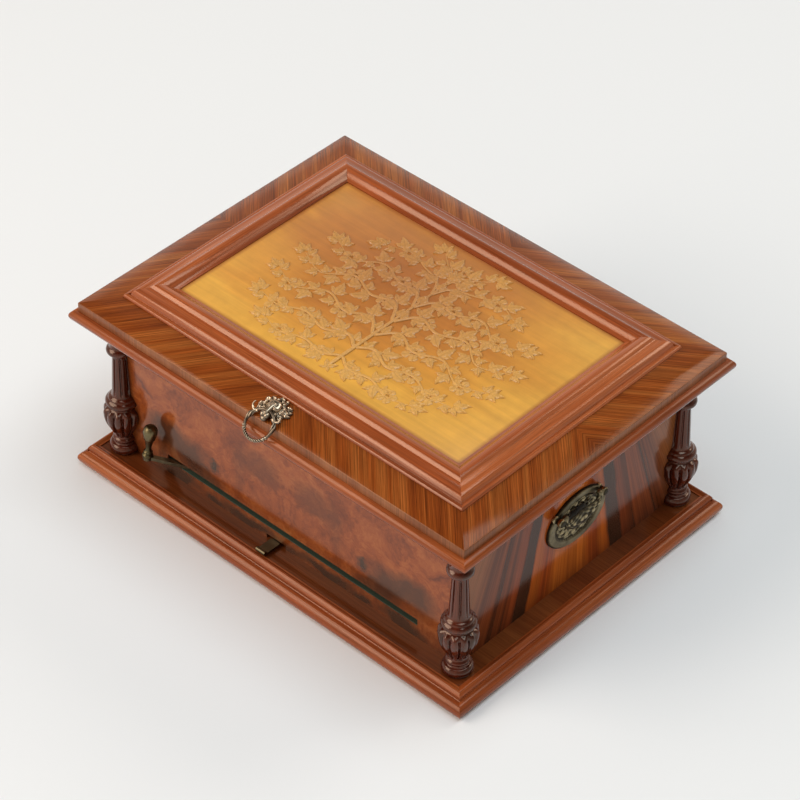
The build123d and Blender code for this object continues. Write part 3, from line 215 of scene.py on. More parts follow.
# %% Floor
floor_half = 6.0
floor_mesh = bpy.data.meshes.new("studio_floor")
floor_mesh.from_pydata(
    [(-floor_half, -floor_half, 0), (floor_half, -floor_half, 0),
     (floor_half, floor_half, 0), (-floor_half, floor_half, 0)],
    [], [(0, 1, 2, 3)],
)
floor = bpy.data.objects.new("studio_floor", floor_mesh)
bpy.context.scene.collection.objects.link(floor)
floor_mesh.materials.append(start_finish("studio_paper", Base_Color=(0.79, 0.82, 0.85, 1.0),
                                         Roughness=0.8, Specular_IOR_Level=0.2)[0])
print("floor laid")

# %% Air
# The room is pale near the horizon and dim overhead, so upright faces and far slopes pick up a
# sheen while the near slopes stay deep in colour. Its right side is dimmer than its left. The air
# and the low lamps are warm, as the sheen on old shellac is, and the cool panel overhead and the
# floor's bluish paint make the floor neutral again.
world = bpy.data.worlds.new("studio_air")
world.use_nodes = True
air = world.node_tree
warm = np.array([1.0, 0.87, 0.76])
toward = put(air, "TexCoord").outputs["Generated"]
greys = ((0.30, 1.0), (0.50, 0.80), (0.64, 0.42), (0.76, 0.18))
overhead = (0.95, (0.06, 0.058, 0.056))
sky = ramp(air, along(air, toward, "Z"), (*((at, grey * warm) for at, grey in greys), overhead))
side_dim = spread(air, along(air, toward, "X"), 0.15, 0.75, 1.0, 0.56)
dimmed = put(air, "VectorMath", {0: sky, "Scale": side_dim}, operation="SCALE").outputs["Vector"]
air.links.new(dimmed, air.nodes["Background"].inputs["Color"])
air.nodes["Background"].inputs["Strength"].default_value = 0.8
bpy.context.scene.world = world
bpy.context.scene.view_settings.view_transform = "Standard"
print("air tinted", warm)

# %% Lights


def soft_panel(name, place, target, size, power, tint):
    """A rectangular panel of light at one place that faces another, with a slight tint."""
    data = bpy.data.lights.new(name, "AREA")
    data.shape = "RECTANGLE"
    data.size, data.size_y = size
    data.energy = power
    data.color = tint
    lamp = bpy.data.objects.new(name, data)
    bpy.context.scene.collection.objects.link(lamp)
    away = np.array(place) - np.array(target)
    away = away / np.linalg.norm(away)
    side = np.cross([0.0, 0.0, 1.0], away)
    side = side / np.linalg.norm(side)
    stand_at(lamp, place, np.stack([side, np.cross(away, side), away], axis=1))


# name, place, target, size, power and tint of each panel
for panel_light in (
    ("front_panel_light", (-2.6, -5.2, 2.4), (0.0, 0.0, 0.1), (3.0, 2.4), 72.0, (1.0, 0.88, 0.78)),
    ("top_panel", (1.1, 0.3, 5.2), (0.3, 0.1, 0.1), (4.4, 3.8), 163.0, (0.86, 0.96, 1.0)),
    ("rear_high_panel", (1.1, 3.3, 2.9), (0.2, 0.1, 0.1), (2.0, 1.6), 38.0, (1.0, 0.88, 0.76)),
    ("window_light", (-1.9, -2.4, 2.8), (0.0, -0.1, 0.15), (2.5, 2.0), 72.0, (1.0, 0.86, 0.74)),
):
    soft_panel(*panel_light)
print("lights set")

# %% [markdown]
# ## Small tools for surfaces
#
# Turned legs, mouldings and leaves are all sheets with two directions: round and up, across and
# along, or edge and tip. So every new piece here is a grid of points worked out as whole arrays,
# and one helper joins neighbouring points into faces. Closed shapes are welded where the grid
# meets itself, and their faces are then turned outwards.

# %% From grids to meshes
MM = 0.001


def patch(points, uv=None, finish=0, wear_and_shade=None):
    """One grid: rows x columns x 3 points in millimetres, and pattern coordinates in metres."""
    points = np.asarray(points, float)
    rows, columns = points.shape[:2]
    if uv is None:
        down, across = np.mgrid[0:rows, 0:columns]
        uv = np.stack([across / max(columns - 1, 1), down / max(rows - 1, 1)], -1)
    if wear_and_shade is None:
        wear_and_shade = np.full((rows, columns), 0.5)
    return {"points": points, "uv": np.asarray(uv, float), "finish": finish, "wear_and_shade": wear_and_shade}


def join_patches(name, patches, finishes, crease=40.0):
    """A mesh object from grids. Four neighbouring points make each face, and points that fall on
    one another are welded. Edges that turn by more than the crease angle stay sharp."""
    places, faces, coords, numbers, wears = [], [], [], [], []
    first = 0
    for item in patches:
        rows, columns = item["points"].shape[:2]
        index = np.arange(rows * columns).reshape(rows, columns)
        quads = np.stack([index[:-1, :-1], index[:-1, 1:], index[1:, 1:], index[1:, :-1]], -1)
        quads = quads.reshape(-1, 4)
        places.append(item["points"].reshape(-1, 3) * MM)
        faces.append(quads + first)
        coords.append(item["uv"].reshape(-1, 2)[quads.ravel()])
        numbers.append(np.full(len(quads), item["finish"]))
        wears.append(item["wear_and_shade"].reshape(-1))
        first += rows * columns
    places = np.concatenate(places)
    faces = np.concatenate(faces)
    mesh = bpy.data.meshes.new(name)
    mesh.vertices.add(len(places))
    mesh.vertices.foreach_set("co", places.ravel())
    mesh.loops.add(faces.size)
    mesh.loops.foreach_set("vertex_index", faces.ravel())
    mesh.polygons.add(len(faces))
    mesh.polygons.foreach_set("loop_start", np.arange(len(faces)) * 4)
    mesh.polygons.foreach_set("material_index", np.concatenate(numbers))
    mesh.uv_layers.new(name="pattern")
    mesh.uv_layers["pattern"].data.foreach_set("uv", np.concatenate(coords).ravel())
    layer = mesh.attributes.new("wear_and_shade", "FLOAT", "POINT")
    layer.data.foreach_set("value", np.concatenate(wears))
    for finish in finishes:
        mesh.materials.append(finish)
    mesh.update(calc_edges=True)
    shape = bmesh.new()
    shape.from_mesh(mesh)
    bmesh.ops.remove_doubles(shape, verts=shape.verts, dist=2e-6)
    bmesh.ops.dissolve_degenerate(shape, edges=shape.edges, dist=1e-7)
    bmesh.ops.recalc_face_normals(shape, faces=shape.faces)
    shape.to_mesh(mesh)
    shape.free()
    mesh.polygons.foreach_set("use_smooth", np.ones(len(mesh.polygons), bool))
    mesh.set_sharp_from_angle(angle=math.radians(crease))
    mesh.update()
    piece = bpy.data.objects.new(name, mesh)
    bpy.context.scene.collection.objects.link(piece)
    return piece


def fit_piece(piece, body, slot, *nodes):
    """Puts a finished piece on its body and hides the nodes it stands for. The slot is not used."""
    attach(piece, body)
    if nodes:
        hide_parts(*nodes)
    print(piece.name, len(piece.data.polygons), "faces, rides on", body)


print("grid tools ready")

# %% Smooth lines and arcs


def flowing(points, steps=6):
    """A smooth line through points: between two of them it is the cubic whose direction at each
    end is half the step from the point before to the point after."""
    p = np.asarray(points, float)
    p = np.vstack([2 * p[0] - p[1], p, 2 * p[-1] - p[-2]])
    t = np.linspace(0, 1, steps, endpoint=False)[None, :, None]
    a, b, c, d = (p[i:len(p) - 3 + i, None, :] for i in range(4))
    q = b + (c - a) / 2 * t + (a - 2.5 * b + 2 * c - d / 2) * t**2
    q = q + (1.5 * b - a / 2 - 1.5 * c + d / 2) * t**3
    return np.vstack([q.reshape(-1, p.shape[1]), p[-2:-1]])


def arc(centre, radius, start, end, count=14):
    """Points on a circle between two angles in degrees: centre + radius times cosine and sine."""
    angle = np.radians(np.linspace(start, end, count))
    return np.array(centre) + radius * np.column_stack([np.cos(angle), np.sin(angle)])


print("line tools ready")

# %% [markdown]
# ## Polished wood
#
# Sawn wood has three scales of pattern: broad bands where the growth rings are cut, fibres along
# them, and pores as fine dark dashes. All three are noise that is stretched along the grain. French
# polish is a clear coat over the colour, so the streaks of light lie on top of the wood.

# %% The wood finish
shellac = (1.0, 0.72, 0.52, 1.0)
polish_bump = 0.00006
case_half = (215.5, 152.5)


def start_polish(name, roughness, varnish, coat, film):
    """A French-polished material: a warm varnish under a thin clear film."""
    return start_finish(name, Roughness=roughness, Specular_IOR_Level=varnish,
                        Specular_Tint=shellac, Coat_Weight=coat, Coat_Roughness=film)


def bare_inside(tree, colour, axis, half):
    """The bare wood behind a veneer: plain brown wherever a point is nearer to the middle of the
    box than the veneered face, whose distance from it in millimetres is given along one axis."""
    vector = object_place(tree)
    depth = figure(tree, "ABSOLUTE", along(tree, vector, axis))
    fibres = noise(tree, stretch(tree, vector, (30.0, 30.0, 700.0)), detail=3.0)
    plain = ramp(tree, fibres, ((0.3, (0.085, 0.032, 0.012)), (0.7, (0.150, 0.062, 0.025))))
    behind = spread(tree, depth, (half - 1.2) * MM, (half - 0.6) * MM, 1.0, 0.0)
    return blend_colours(tree, behind, colour, plain)


def matched(tree, vector, axis):
    """The same coordinates on both sides of the middle, as in a veneer opened like a book."""
    parts = put(tree, "SeparateXYZ", {0: vector}).outputs
    sides = {name: parts[name] for name in "XYZ"}
    sides[axis] = figure(tree, "ABSOLUTE", sides[axis])
    return put(tree, "CombineXYZ", sides).outputs[0]


def weigh(tree, first, share, second):
    """Two patterns added, the first by a share and the second by the rest."""
    parts = (figure(tree, "MULTIPLY", first, share), figure(tree, "MULTIPLY", second, 1.0 - share))
    return figure(tree, "ADD", *parts)


def wood_finish(name, dark, middle, light, coordinates="UV", grain="X", band=60.0, streak=0.35,
                fibre=900.0, coat=0.3, varnish=0.40, roughness=0.15, film=0.10, contrast=1.0,
                book=None, veneered=None):
    """Noise stretched along the grain makes the bands, the fibres and the pores, and a ramp turns
    their sum into colour. book mirrors the pattern along an axis, as matched veneers are, and
    veneered keeps it to one face of the board."""
    finish, tree, shader = start_polish(name, roughness, varnish, coat, film)
    vector = put(tree, "TexCoord").outputs[coordinates]
    if book:
        vector = matched(tree, vector, book)

    def grained(long, wide, **settings):
        scale = tuple(long if axis == grain else wide for axis in "XYZ")
        return noise(tree, stretch(tree, vector, scale), **settings)

    bands = grained(1.6, band, detail=3.0, distortion=0.4)
    fibres = grained(14.0, fibre, detail=3.0, roughness=0.6)
    mixed = weigh(tree, grained(3.0, 9.0, detail=2.0), 0.35, bands)
    mixed = spread(tree, mixed, 0.5 - 0.22 / contrast, 0.5 + 0.22 / contrast)
    colour = ramp(tree, mixed, ((0.0, dark), (0.45, middle), (1.0, light)))
    colour = shade(tree, colour, fibres, 0.35, 0.7, 1.0 - streak, 1.0 + streak * 0.4)
    pores = spread(tree, grained(60.0, 2600.0, detail=1.0), 0.60, 0.72, 1.0, 0.72)
    colour = blend_colours(tree, 1.0, colour, pores, "MULTIPLY")
    if veneered:
        colour = bare_inside(tree, colour, *veneered)
    rough = spread(tree, fibres, 0.3, 0.7, roughness - 0.03, roughness + 0.05)
    cover(tree, shader, colour, figure(tree, "ADD", fibres, pores), polish_bump, 0.35, rough)
    return finish


moulding_walnut = wood_finish(
    "polished_moulding", (0.12, 0.020, 0.005), (0.33, 0.070, 0.016), (0.55, 0.155, 0.045),
    band=40.0, coat=0.25, varnish=0.75, roughness=0.20, film=0.14)
case_moulding = wood_finish(
    "case_moulding", (0.105, 0.018, 0.005), (0.28, 0.060, 0.014), (0.47, 0.135, 0.038),
    band=40.0, coat=0.15, varnish=0.36, roughness=0.20, film=0.12)
lid_band_veneer = wood_finish(
    "striped_band", (0.12, 0.020, 0.003), (0.27, 0.060, 0.009), (0.42, 0.130, 0.027),
    band=85.0, streak=0.6, fibre=1100.0, contrast=1.3, coat=0.15, varnish=0.28)
lid_edge_wood = wood_finish(
    "dull_edge", (0.13, 0.036, 0.012), (0.25, 0.085, 0.032), (0.36, 0.145, 0.058),
    band=30.0, coat=0.1, varnish=0.35, roughness=0.3)
deck_walnut = wood_finish(
    "deck_board", (0.054, 0.011, 0.003), (0.130, 0.031, 0.008), (0.22, 0.066, 0.018),
    coordinates="Object", band=30.0, coat=0.2, varnish=0.4)
back_veneer = wood_finish(
    "back_stripes", (0.030, 0.010, 0.006), (0.26, 0.065, 0.010), (0.42, 0.13, 0.022),
    coordinates="Object", grain="Z", band=30.0, streak=0.4, contrast=1.3, book="X",
    veneered=("Y", case_half[1]))
turned_hardwood = wood_finish(
    "turned_and_carved", (0.024, 0.004, 0.002), (0.070, 0.010, 0.004), (0.14, 0.024, 0.009),
    coordinates="Object", grain="Z", coat=0.35, varnish=0.5, roughness=0.10)
print("polished woods", [m.name for m in bpy.data.materials])

# %% Fanned side veneer
fan, fan_level = 3.4, 0.130
stripe_reach = 0.15
deck_top = 22.0


def swing(tree, value, reach):
    """Cloudy values moved to lie about nought and widened."""
    return figure(tree, "MULTIPLY", figure(tree, "SUBTRACT", value, 0.5), reach)


def fanned_finish(name, stops):
    """Upright stripes that spread towards the foot: the distance from the middle is divided by
    1 + fan times the drop below a level, and a ramp over it gives each stripe its colour. Noise
    bends the stripes a little and adds the fibres, which run along the same fan. Fine dark lines
    are strongest just outside the black stripe, and the foot of the wall is darkened with painted
    shade."""
    finish, tree, shader = start_polish(name, 0.13, 0.28, 0.15, 0.12)
    vector = object_place(tree)
    upward = along(tree, vector, "Z")
    drop = figure(tree, "SUBTRACT", fan_level, upward)
    share = figure(tree, "ADD", figure(tree, "MULTIPLY", drop, fan), 1.0)
    place = figure(tree, "DIVIDE", along(tree, vector, "Y"), share)
    flat = put(tree, "CombineXYZ", {"X": place, "Y": 0.0, "Z": upward}).outputs[0]
    sway = swing(tree, noise(tree, flat, 14.0, detail=2.0), 0.010)
    stripes = noise(tree, stretch(tree, flat, (150.0, 1.0, 2.0)), detail=3.0, distortion=0.3)
    fibres = noise(tree, stretch(tree, flat, (900.0, 1.0, 10.0)), detail=3.0, roughness=0.6)
    away = figure(tree, "ADD", figure(tree, "ABSOLUTE", place), sway)
    colour = ramp(tree, figure(tree, "DIVIDE", away, stripe_reach), stops)
    begin = spread(tree, away, 0.055, 0.075, 0.25, 0.8)
    end = spread(tree, away, 0.098, 0.116, 1.0, 0.15)
    fine = figure(tree, "MULTIPLY", begin, end)
    fine = figure(tree, "MULTIPLY", fine, spread(tree, stripes, 0.42, 0.60, 1.0, 0.0))
    colour = blend_colours(tree, fine, colour, (0.045, 0.014, 0.007, 1.0))
    colour = shade(tree, colour, fibres, 0.35, 0.7, 0.72, 1.15)
    # painted shade: the colour is darkened towards the deck, standing in for the shadow at the foot
    # of the wall
    colour = shade(tree, colour, upward, deck_top * MM, 0.062, 0.72, 1.0)
    colour = bare_inside(tree, colour, "X", case_half[0])
    cover(tree, shader, colour, fibres, polish_bump, 0.3)
    return finish


side_veneer = fanned_finish("upright_stripes", (
    (0.0, (0.50, 0.120, 0.015)), (0.10, (0.56, 0.140, 0.018)), (0.155, (0.36, 0.068, 0.010)),
    (0.20, (0.30, 0.052, 0.009)), (0.235, (0.50, 0.115, 0.015)), (0.28, (0.46, 0.100, 0.014)),
    (0.295, (0.050, 0.020, 0.010)), (0.375, (0.060, 0.022, 0.011)),
    (0.395, (0.23, 0.045, 0.012)), (0.50, (0.25, 0.055, 0.015)), (0.68, (0.23, 0.055, 0.017)),
    (0.80, (0.30, 0.100, 0.032)), (1.0, (0.32, 0.110, 0.035)),
))
print(side_veneer.name, "fans out below", fan_level, "m")

# %% [markdown]
# ## Burl veneer
#
# Burl has no grain: it swirls in clouds with small eyes and dark pools. The front is two leaves of
# one burl opened like a book, so the pattern is the same on both sides of the middle. Noise that is
# distorted by more noise gives the swirls, the cells of a Voronoi pattern give small eyes, and a
# few soft ovals, bent by the same noise, give the large dark pools where the log was diseased.

# %% The burl finish


def oval(tree, vector, scale, location):
    """The distance from an oval's middle, as a share of its reach."""
    away = stretch(tree, vector, scale, location)
    return put(tree, "VectorMath", {0: away}, operation="LENGTH").outputs["Value"]


def soft_spot(tree, vector, centre, size, strength):
    """A soft oval about a place on the front, in metres: strength over the middle, 0 outside."""
    scale = (1 / size[0], 1.0, 1 / size[1])
    away = oval(tree, vector, scale, (-centre[0] / size[0], 0.0, -centre[1] / size[1]))
    return spread(tree, away, 1.25, 0.55, 0.0, strength)


def burl_finish(name, dark, middle, light, pool, spots):
    """Distorted noise for the clouds, fine noise for the figure in them, cells for the eyes and a
    few broad soft ovals for the dark pools, all mirrored about the middle of the front. The foot of
    the front is darkened with painted shade."""
    finish, tree, shader = start_polish(name, 0.11, 0.36, 0.22, 0.11)

    def vectors(operation, first, second, key=1):
        return put(tree, "VectorMath", {0: first, key: second}, operation=operation).outputs[0]

    vector = matched(tree, object_place(tree), "X")
    cloud = {"Vector": vector, "Scale": 22.0, "Detail": 5.0, "Roughness": 0.6}
    drift = vectors("SUBTRACT", put(tree, "TexNoise", cloud).outputs[1], (0.5, 0.5, 0.5))
    warped = vectors("ADD", vector, vectors("SCALE", drift, 0.045, "Scale"))
    clouds = noise(tree, warped, 24.0, detail=5.0, roughness=0.6, distortion=1.2)
    swirls = noise(tree, warped, 80.0, detail=6.0, roughness=0.7, distortion=2.2)
    eyes = put(tree, "TexVoronoi", {"Vector": warped, "Scale": 42.0}).outputs["Distance"]
    mixed = spread(tree, weigh(tree, clouds, 0.55, swirls), 0.34, 0.66)
    colour = ramp(tree, mixed, ((0.0, dark), (0.5, middle), (1.0, light)))
    colour = blend_colours(tree, spread(tree, eyes, 0.02, 0.13, 0.5, 0.0), colour, (*dark, 1.0))
    flat = vectors("MULTIPLY", warped, (1.0, 0.0, 1.0))
    for spot_row in spots:
        colour = blend_colours(tree, soft_spot(tree, flat, *spot_row), colour, (*pool, 1.0))
    # painted shade: the colour is darkened towards the deck, standing in for the shadow low on the
    # front
    colour = shade(tree, colour, along(tree, vector, "Z"), deck_top * MM, 0.070, 0.55, 1.0)
    colour = bare_inside(tree, colour, "Y", case_half[1])
    cover(tree, shader, colour, swirls, 0.00004, 0.3)
    return finish


front_burl = burl_finish(
    "matched_burl", (0.12, 0.025, 0.008), (0.25, 0.058, 0.014), (0.37, 0.107, 0.028),
    (0.048, 0.024, 0.015), (
        ((0.034, 0.106), (0.026, 0.022), 0.38), ((0.060, 0.088), (0.010, 0.030), 0.25),
        ((0.146, 0.070), (0.042, 0.022), 0.80), ((0.112, 0.054), (0.032, 0.010), 0.7),
        ((0.0965, 0.0695), (0.0062, 0.0058), 1.0), ((0.050, 0.027), (0.034, 0.009), 0.9),
        ((0.098, 0.025), (0.016, 0.008), 0.85), ((0.150, 0.030), (0.028, 0.012), 0.9),
        ((0.010, 0.026), (0.012, 0.009), 0.7)))
print("burl ready")

# %% [markdown]
# ## Mitred mouldings
#
# The base, the cornice and the lid's picture frame are each one section of wood run along four
# sides and cut at 45 degrees where they meet. A straight sweep with mitred ends does just that.
# The ends draw in by a hair, so a fine line shows at each corner, as it does between real lengths.

# %% Run a section round four sides
mitre_ease = 0.22
mitre_run = 0.9
pattern_step = 0.37


def travelled(line):
    """How far along a line each of its points is: the sum of the steps before it."""
    return np.concatenate([[0.0], np.cumsum(np.linalg.norm(np.diff(line, axis=0), axis=1))])


def side_frame(side, run, out):
    """Turns distances along a side and out from the middle into x and y. Sides go front, right,
    back, left, each a quarter turn on from the last."""
    angle = side * math.pi / 2
    x = run * math.cos(angle) + out * math.sin(angle)
    y = run * math.sin(angle) - out * math.cos(angle)
    return x, y


def mitred_length(side, section, half, finish_of, stripes):
    """One length of a closed section of (inset, height) points. A point at inset i is carried to
    the share t of its own half length, which is the half size less i, so both ends are mitres."""
    long_half, deep_half = half if side % 2 == 0 else half[::-1]
    ring = np.vstack([section, section[:1]])
    middle = section.mean(0)
    drawn = ring + (middle - ring) * mitre_ease / np.linalg.norm(middle - ring, axis=1)[:, None]
    ease = mitre_run / long_half
    shares = np.array([-1.0, -1.0 + ease, -0.5, 0.0, 0.5, 1.0 - ease, 1.0])
    rings = np.repeat(ring[None], len(shares), 0)
    rings[[0, -1]] = drawn
    inset, height = rings[..., 0], rings[..., 1]
    run = shares[:, None] * (long_half - inset)
    x, y = side_frame(side, run, deep_half - inset)
    points = np.stack([x, y, height], -1)
    uv = np.stack([run * MM, np.broadcast_to(travelled(ring) * MM, run.shape)], -1)
    if stripes:
        uv = np.stack([abs(x) + abs(y), abs(x) - abs(y)], -1) * MM / 2**0.5
    uv = uv + pattern_step * side
    parts = [patch(points[:, first:last + 1], uv[:, first:last + 1], finish)
             for first, last, finish in finish_of]
    for end in (0, -1):
        centre = side_frame(side, shares[end] * (long_half - middle[0]), deep_half - middle[0])
        centre = np.broadcast_to([*centre, middle[1]], points[end].shape)
        ends = np.stack([uv[end], uv[end]])
        parts.append(patch(np.stack([points[end], centre]), ends, finish_of[0][2]))
    return parts


def mitred_frame(name, section, half, finishes, finish_of=None, stripes=False):
    """Four mitred lengths as one piece. Each entry of finish_of is a run of the section's points
    with the number of its finish."""
    finish_of = finish_of or [(0, len(section), 0)]
    parts = []
    for side in range(4):
        parts += mitred_length(side, section, half, finish_of, stripes)
    return join_patches(name, parts, finishes, crease=38.0)


print("mitres draw in by", mitre_ease, "mm")

# %% Base moulding
base_half = (250.9, 189.2)
base_section = np.vstack([
    [(16.5, 23.0), (16.5, 0.0)],
    [(8.0, 0.0)],
    arc((8.0, 8.0), 8.0, 268, 92, 18),
    [(8.0, 16.0), (8.5, 16.5), (8.6, 17.6)],
    flowing([(8.6, 17.6), (7.9, 21.0), (11.2, 24.5), (14.4, 23.6)], 7)[1:],
    [(14.9, 23.0)],
])
base = mitred_frame("base_moulding_run", base_section, base_half, [case_moulding])
fit_piece(base, "cabinet", "moulding_wood", "base_moulding")

# %% Cornice
cornice_half = (250.0, 188.3)
case_top = 182.0
cornice_section = np.vstack([
    [(46.5, 194.0), (46.5, case_top)],
    arc((6.0, 188.0), 6.0, 270, 90, 18),
])
cornice = mitred_frame("cornice_run", cornice_section, cornice_half, [case_moulding])
fit_piece(cornice, "cabinet", "moulding_wood", "cornice")

# %% [markdown]
# ## The lid
#
# The lid is a frame with a gently sloping veneered band, whose stripes run parallel to the mitres
# and meet in a V at the middle of each side. A bold picture-frame moulding stands on it round the
# panel. The band takes its pattern from the corner direction, so the stripes turn with the sides.

# %% Lid frame
band_top = 210.1
lid_section = np.array([
    (7.55, 203.62), (22.0, 206.65), (38.5, band_top), (46.0, band_top), (46.0, 194.1),
    (7.0, 194.1), (7.0, 202.6), (7.15, 203.2),
])
lid_frame = mitred_frame("lid_frame_veneered", lid_section, cornice_half,
                         [lid_band_veneer, lid_edge_wood], [(0, 3, 0), (3, 8, 1)], stripes=True)
fit_piece(lid_frame, "lid", "lid_veneer", "lid_frame")

# %% Lid moulding
picture_section = np.vstack([
    [(37.0, band_top), (37.0, 211.0)],
    flowing([(37.0, 211.0), (38.1, 212.6), (39.9, 213.0), (41.4, 212.7), (42.0, 212.2)], 5)[1:],
    [(42.3, 212.6)],
    flowing([(42.6, 214.0), (44.4, 216.9), (47.0, 218.6), (51.0, 219.4), (55.0, 220.6)]),
    [(55.5, 220.9)],
    flowing([(56.0, 221.4), (58.2, 223.2), (61.0, 224.0), (66.0, 223.0), (71.0, 219.4),
             (74.6, 218.0)]),
    [(74.6, band_top)],
])
picture_frame = mitred_frame("lid_moulding_run", picture_section, cornice_half, [moulding_walnut])
fit_piece(picture_frame, "lid", "lid_moulding_wood", "lid_moulding")

# %% [markdown]
# ## The golden panel
#
# The lid's field is a pale golden board with a darker amber cloud near the middle, and painted
# shade along its edges: a dark band where it meets the moulding, standing in for the moulding's
# shadow and reflection. The board is a flat sheet with a softly eased edge, and its colour comes
# from long horizontal noise on top of one broad, soft oval.

# %% Panel finish
field_half = (175.4, 113.7)
amber_cloud = ((5.2, 7.4, 0.0), (0.20, -0.33, 0.0))
golden, tree, shader = start_finish("golden_panel", Roughness=0.36, Coat_Weight=0.35,
                                    Coat_Roughness=0.25)
vector = object_place(tree)
drifts = noise(tree, stretch(tree, vector, (7.0, 16.0, 7.0)), detail=3.0, distortion=0.6)
fibres = noise(tree, stretch(tree, vector, (8.0, 150.0, 8.0)), detail=4.0, roughness=0.6)
age = figure(tree, "ADD", oval(tree, vector, *amber_cloud), swing(tree, drifts, 0.9))
colour = ramp(tree, spread(tree, age, 0.1, 1.15), (
    (0.0, (0.36, 0.112, 0.013)), (0.45, (0.455, 0.164, 0.019)), (0.75, (0.60, 0.268, 0.034)),
    (1.0, (0.68, 0.350, 0.049))))
colour = shade(tree, colour, fibres, 0.3, 0.7, 0.88, 1.08)
colour = shade(tree, colour, noise(tree, vector, 60.0, detail=5.0), 0.3, 0.7, 0.93, 1.05)
# painted shade: each edge of the field darkens to red-brown within 5 mm, standing in for the
# moulding's shadow and its reflection
for axis, half in zip("XY", field_half):
    off_middle = figure(tree, "ABSOLUTE", along(tree, vector, axis))
    edge = spread(tree, figure(tree, "SUBTRACT", half * MM, off_middle), 0.0, 0.005, 0.8, 0.0)
    colour = blend_colours(tree, edge, colour, (0.26, 0.060, 0.010, 1.0))
cover(tree, shader, colour, fibres, 0.00004, 0.25)
print(golden.name)

# %% Panel board and field
field_top = 217.2
board_half = (204.0, 142.3)
board_low = 203.0
ease = 0.4


def slab(half, low, high):
    """A flat board with an eased top edge: rings of a rectangle that step in and up, closed by a
    middle line on both faces."""
    rings = [(0.0, low), (0.0, high - ease), (ease * 0.3, high - ease * 0.3), (ease, high)]
    corners = np.array([(1, -1), (1, 1), (-1, 1), (-1, -1), (1, -1)], float)
    spine = corners * (half[0] - half[1], 0.0)
    rows = [(spine, low), *((corners * (np.array(half) - inset), z) for inset, z in rings),
            (spine, high)]
    return patch(np.stack([np.column_stack([row, np.full(5, z)]) for row, z in rows]))


boards = [slab(board_half, board_low, band_top), slab(field_half, band_top, field_top)]
panel = join_patches("lid_panel_golden", boards, [golden])
fit_piece(panel, "lid", "lid_inlay", "lid_panel")

# %% [markdown]
# ## Carved leaves on the panel
#
# Panels like this have a low relief that looks pressed into the wood. Here it is a mirrored tree of
# wavy branches, toothed leaves in threes and five-petalled flowers, the stock of ornament books.
# Each leaf is a sheet raised in two ridges beside its vein, so light catches one half of it.
# All leaves are worked out at once, and the left half is the right half mirrored.

# %% Leaf and stem surfaces
leaf_rows, leaf_columns = 11, 5
leaf_height = 1.5
leaf_ridge = np.array([0.0, 0.95, 0.42, 0.95, 0.0])
# across a leaf: 1 on the two ridges, less on the vein and 0 at the edges; the relief finish paints
# shade where it is low
leaf_unshaded = np.array([0.0, 1.0, 0.30, 1.0, 0.0])
relief_sink = 0.25
stem_steps = 8
tip_half = 0.02


def leaf_patches(bases, bearings, lengths, fat, bend=0.35, teeth=0.16, belly=0.75):
    """Many leaves at once. Along the share u the middle line turns by bend, the half width is fat
    times the length times sin(pi u^belly), and every second row is drawn in by teeth. Across, the
    height is two ridges with the vein between them. A flat strip closes each leaf underneath."""
    bases, bearings, lengths = (np.asarray(a, float) for a in (bases, bearings, lengths))
    bend = np.broadcast_to(bend, bearings.shape)[:, None]
    u = np.linspace(0, 1, leaf_rows)[:, None]
    v = np.linspace(-1, 1, leaf_columns)[None, :]
    turned = bearings[:, None] + bend * u.T ** 1.5
    length = lengths[:, None, None]
    step = length / (leaf_rows - 1) * np.stack([np.cos(turned), np.sin(turned)], -1)
    line = np.concatenate([np.zeros_like(step[:, :1]), np.cumsum(step[:, :-1], 1)], 1)
    line = bases[:, None, :] + line
    normal = np.stack([-np.sin(turned), np.cos(turned)], -1)
    drawn_in = 1.0 - teeth * (np.arange(leaf_rows)[:, None] % 2 == 0)
    across = length * (fat * np.sin(np.pi * u**belly) * drawn_in) * v
    place = line[:, :, None, :] + across[..., None] * normal[:, :, None, :]
    ridge = leaf_ridge * np.sin(np.pi * np.clip(u, 0.04, 0.96)) ** 0.5
    rise = ridge * leaf_height - relief_sink * (abs(v) > 0.99)
    height = rise * np.clip(length / 12.0, 0.6, 1.2) + field_top
    top = np.concatenate([place, height[..., None]], -1)
    edges = place[:, :, ::leaf_columns - 1]
    sunk = np.full((*edges.shape[:-1], 1), field_top - relief_sink)
    wear_and_shade = np.broadcast_to(leaf_unshaded, top.shape[1:3])
    parts = [patch(sheet, wear_and_shade=wear_and_shade) for sheet in top]
    under = np.concatenate([edges, sunk], -1)
    # the strips under the leaves get 0, the darkest painted shade
    return parts + [patch(sheet, wear_and_shade=np.zeros(sheet.shape[:2])) for sheet in under]


def full_circle(count):
    """Angles once round, as one row of a grid."""
    return np.linspace(0, 2 * np.pi, count)[None]


def beside(line):
    """At each point of a flat line, the unit direction across it: its own direction turned left."""
    ahead = np.gradient(line, axis=0)
    ahead = ahead / np.linalg.norm(ahead, axis=1)[:, None]
    return np.column_stack([-ahead[:, 1], ahead[:, 0]])


def ribbon(line, across, normal=None):
    """Points beside a flat line: each row of distances is laid off across the line's direction."""
    normal = beside(line) if normal is None else normal
    return line[:, None] + across[..., None] * normal[:, None]


def stem_patch(path, width):
    """A rounded stem along a flat path. The section is an oval of the given half width, a little
    less high than wide, that tapers to a point at the last sample."""
    path = flowing(path, stem_steps)
    half = width * (1 - 0.75 * np.linspace(0, 1, len(path))**2)
    half[0] = half[-1] = tip_half
    angle = full_circle(9)
    place = ribbon(path, half[:, None] * np.cos(angle))
    height = field_top - 0.1 + half[:, None] * 0.8 * np.sin(angle)
    points = np.concatenate([place, height[..., None]], -1)
    # the wear value runs from 1 on top of the stem to 0 underneath, so the relief finish paints
    # shade under it
    return patch(points, wear_and_shade=np.broadcast_to(np.clip(np.sin(angle), 0, 1), height.shape))


def mirror(parts):
    """The same patches on the other side of the middle line."""
    return [{**part, "points": part["points"] * [-1.0, 1.0, 1.0]} for part in parts]


print("a leaf is", leaf_rows, "by", leaf_columns, "points")

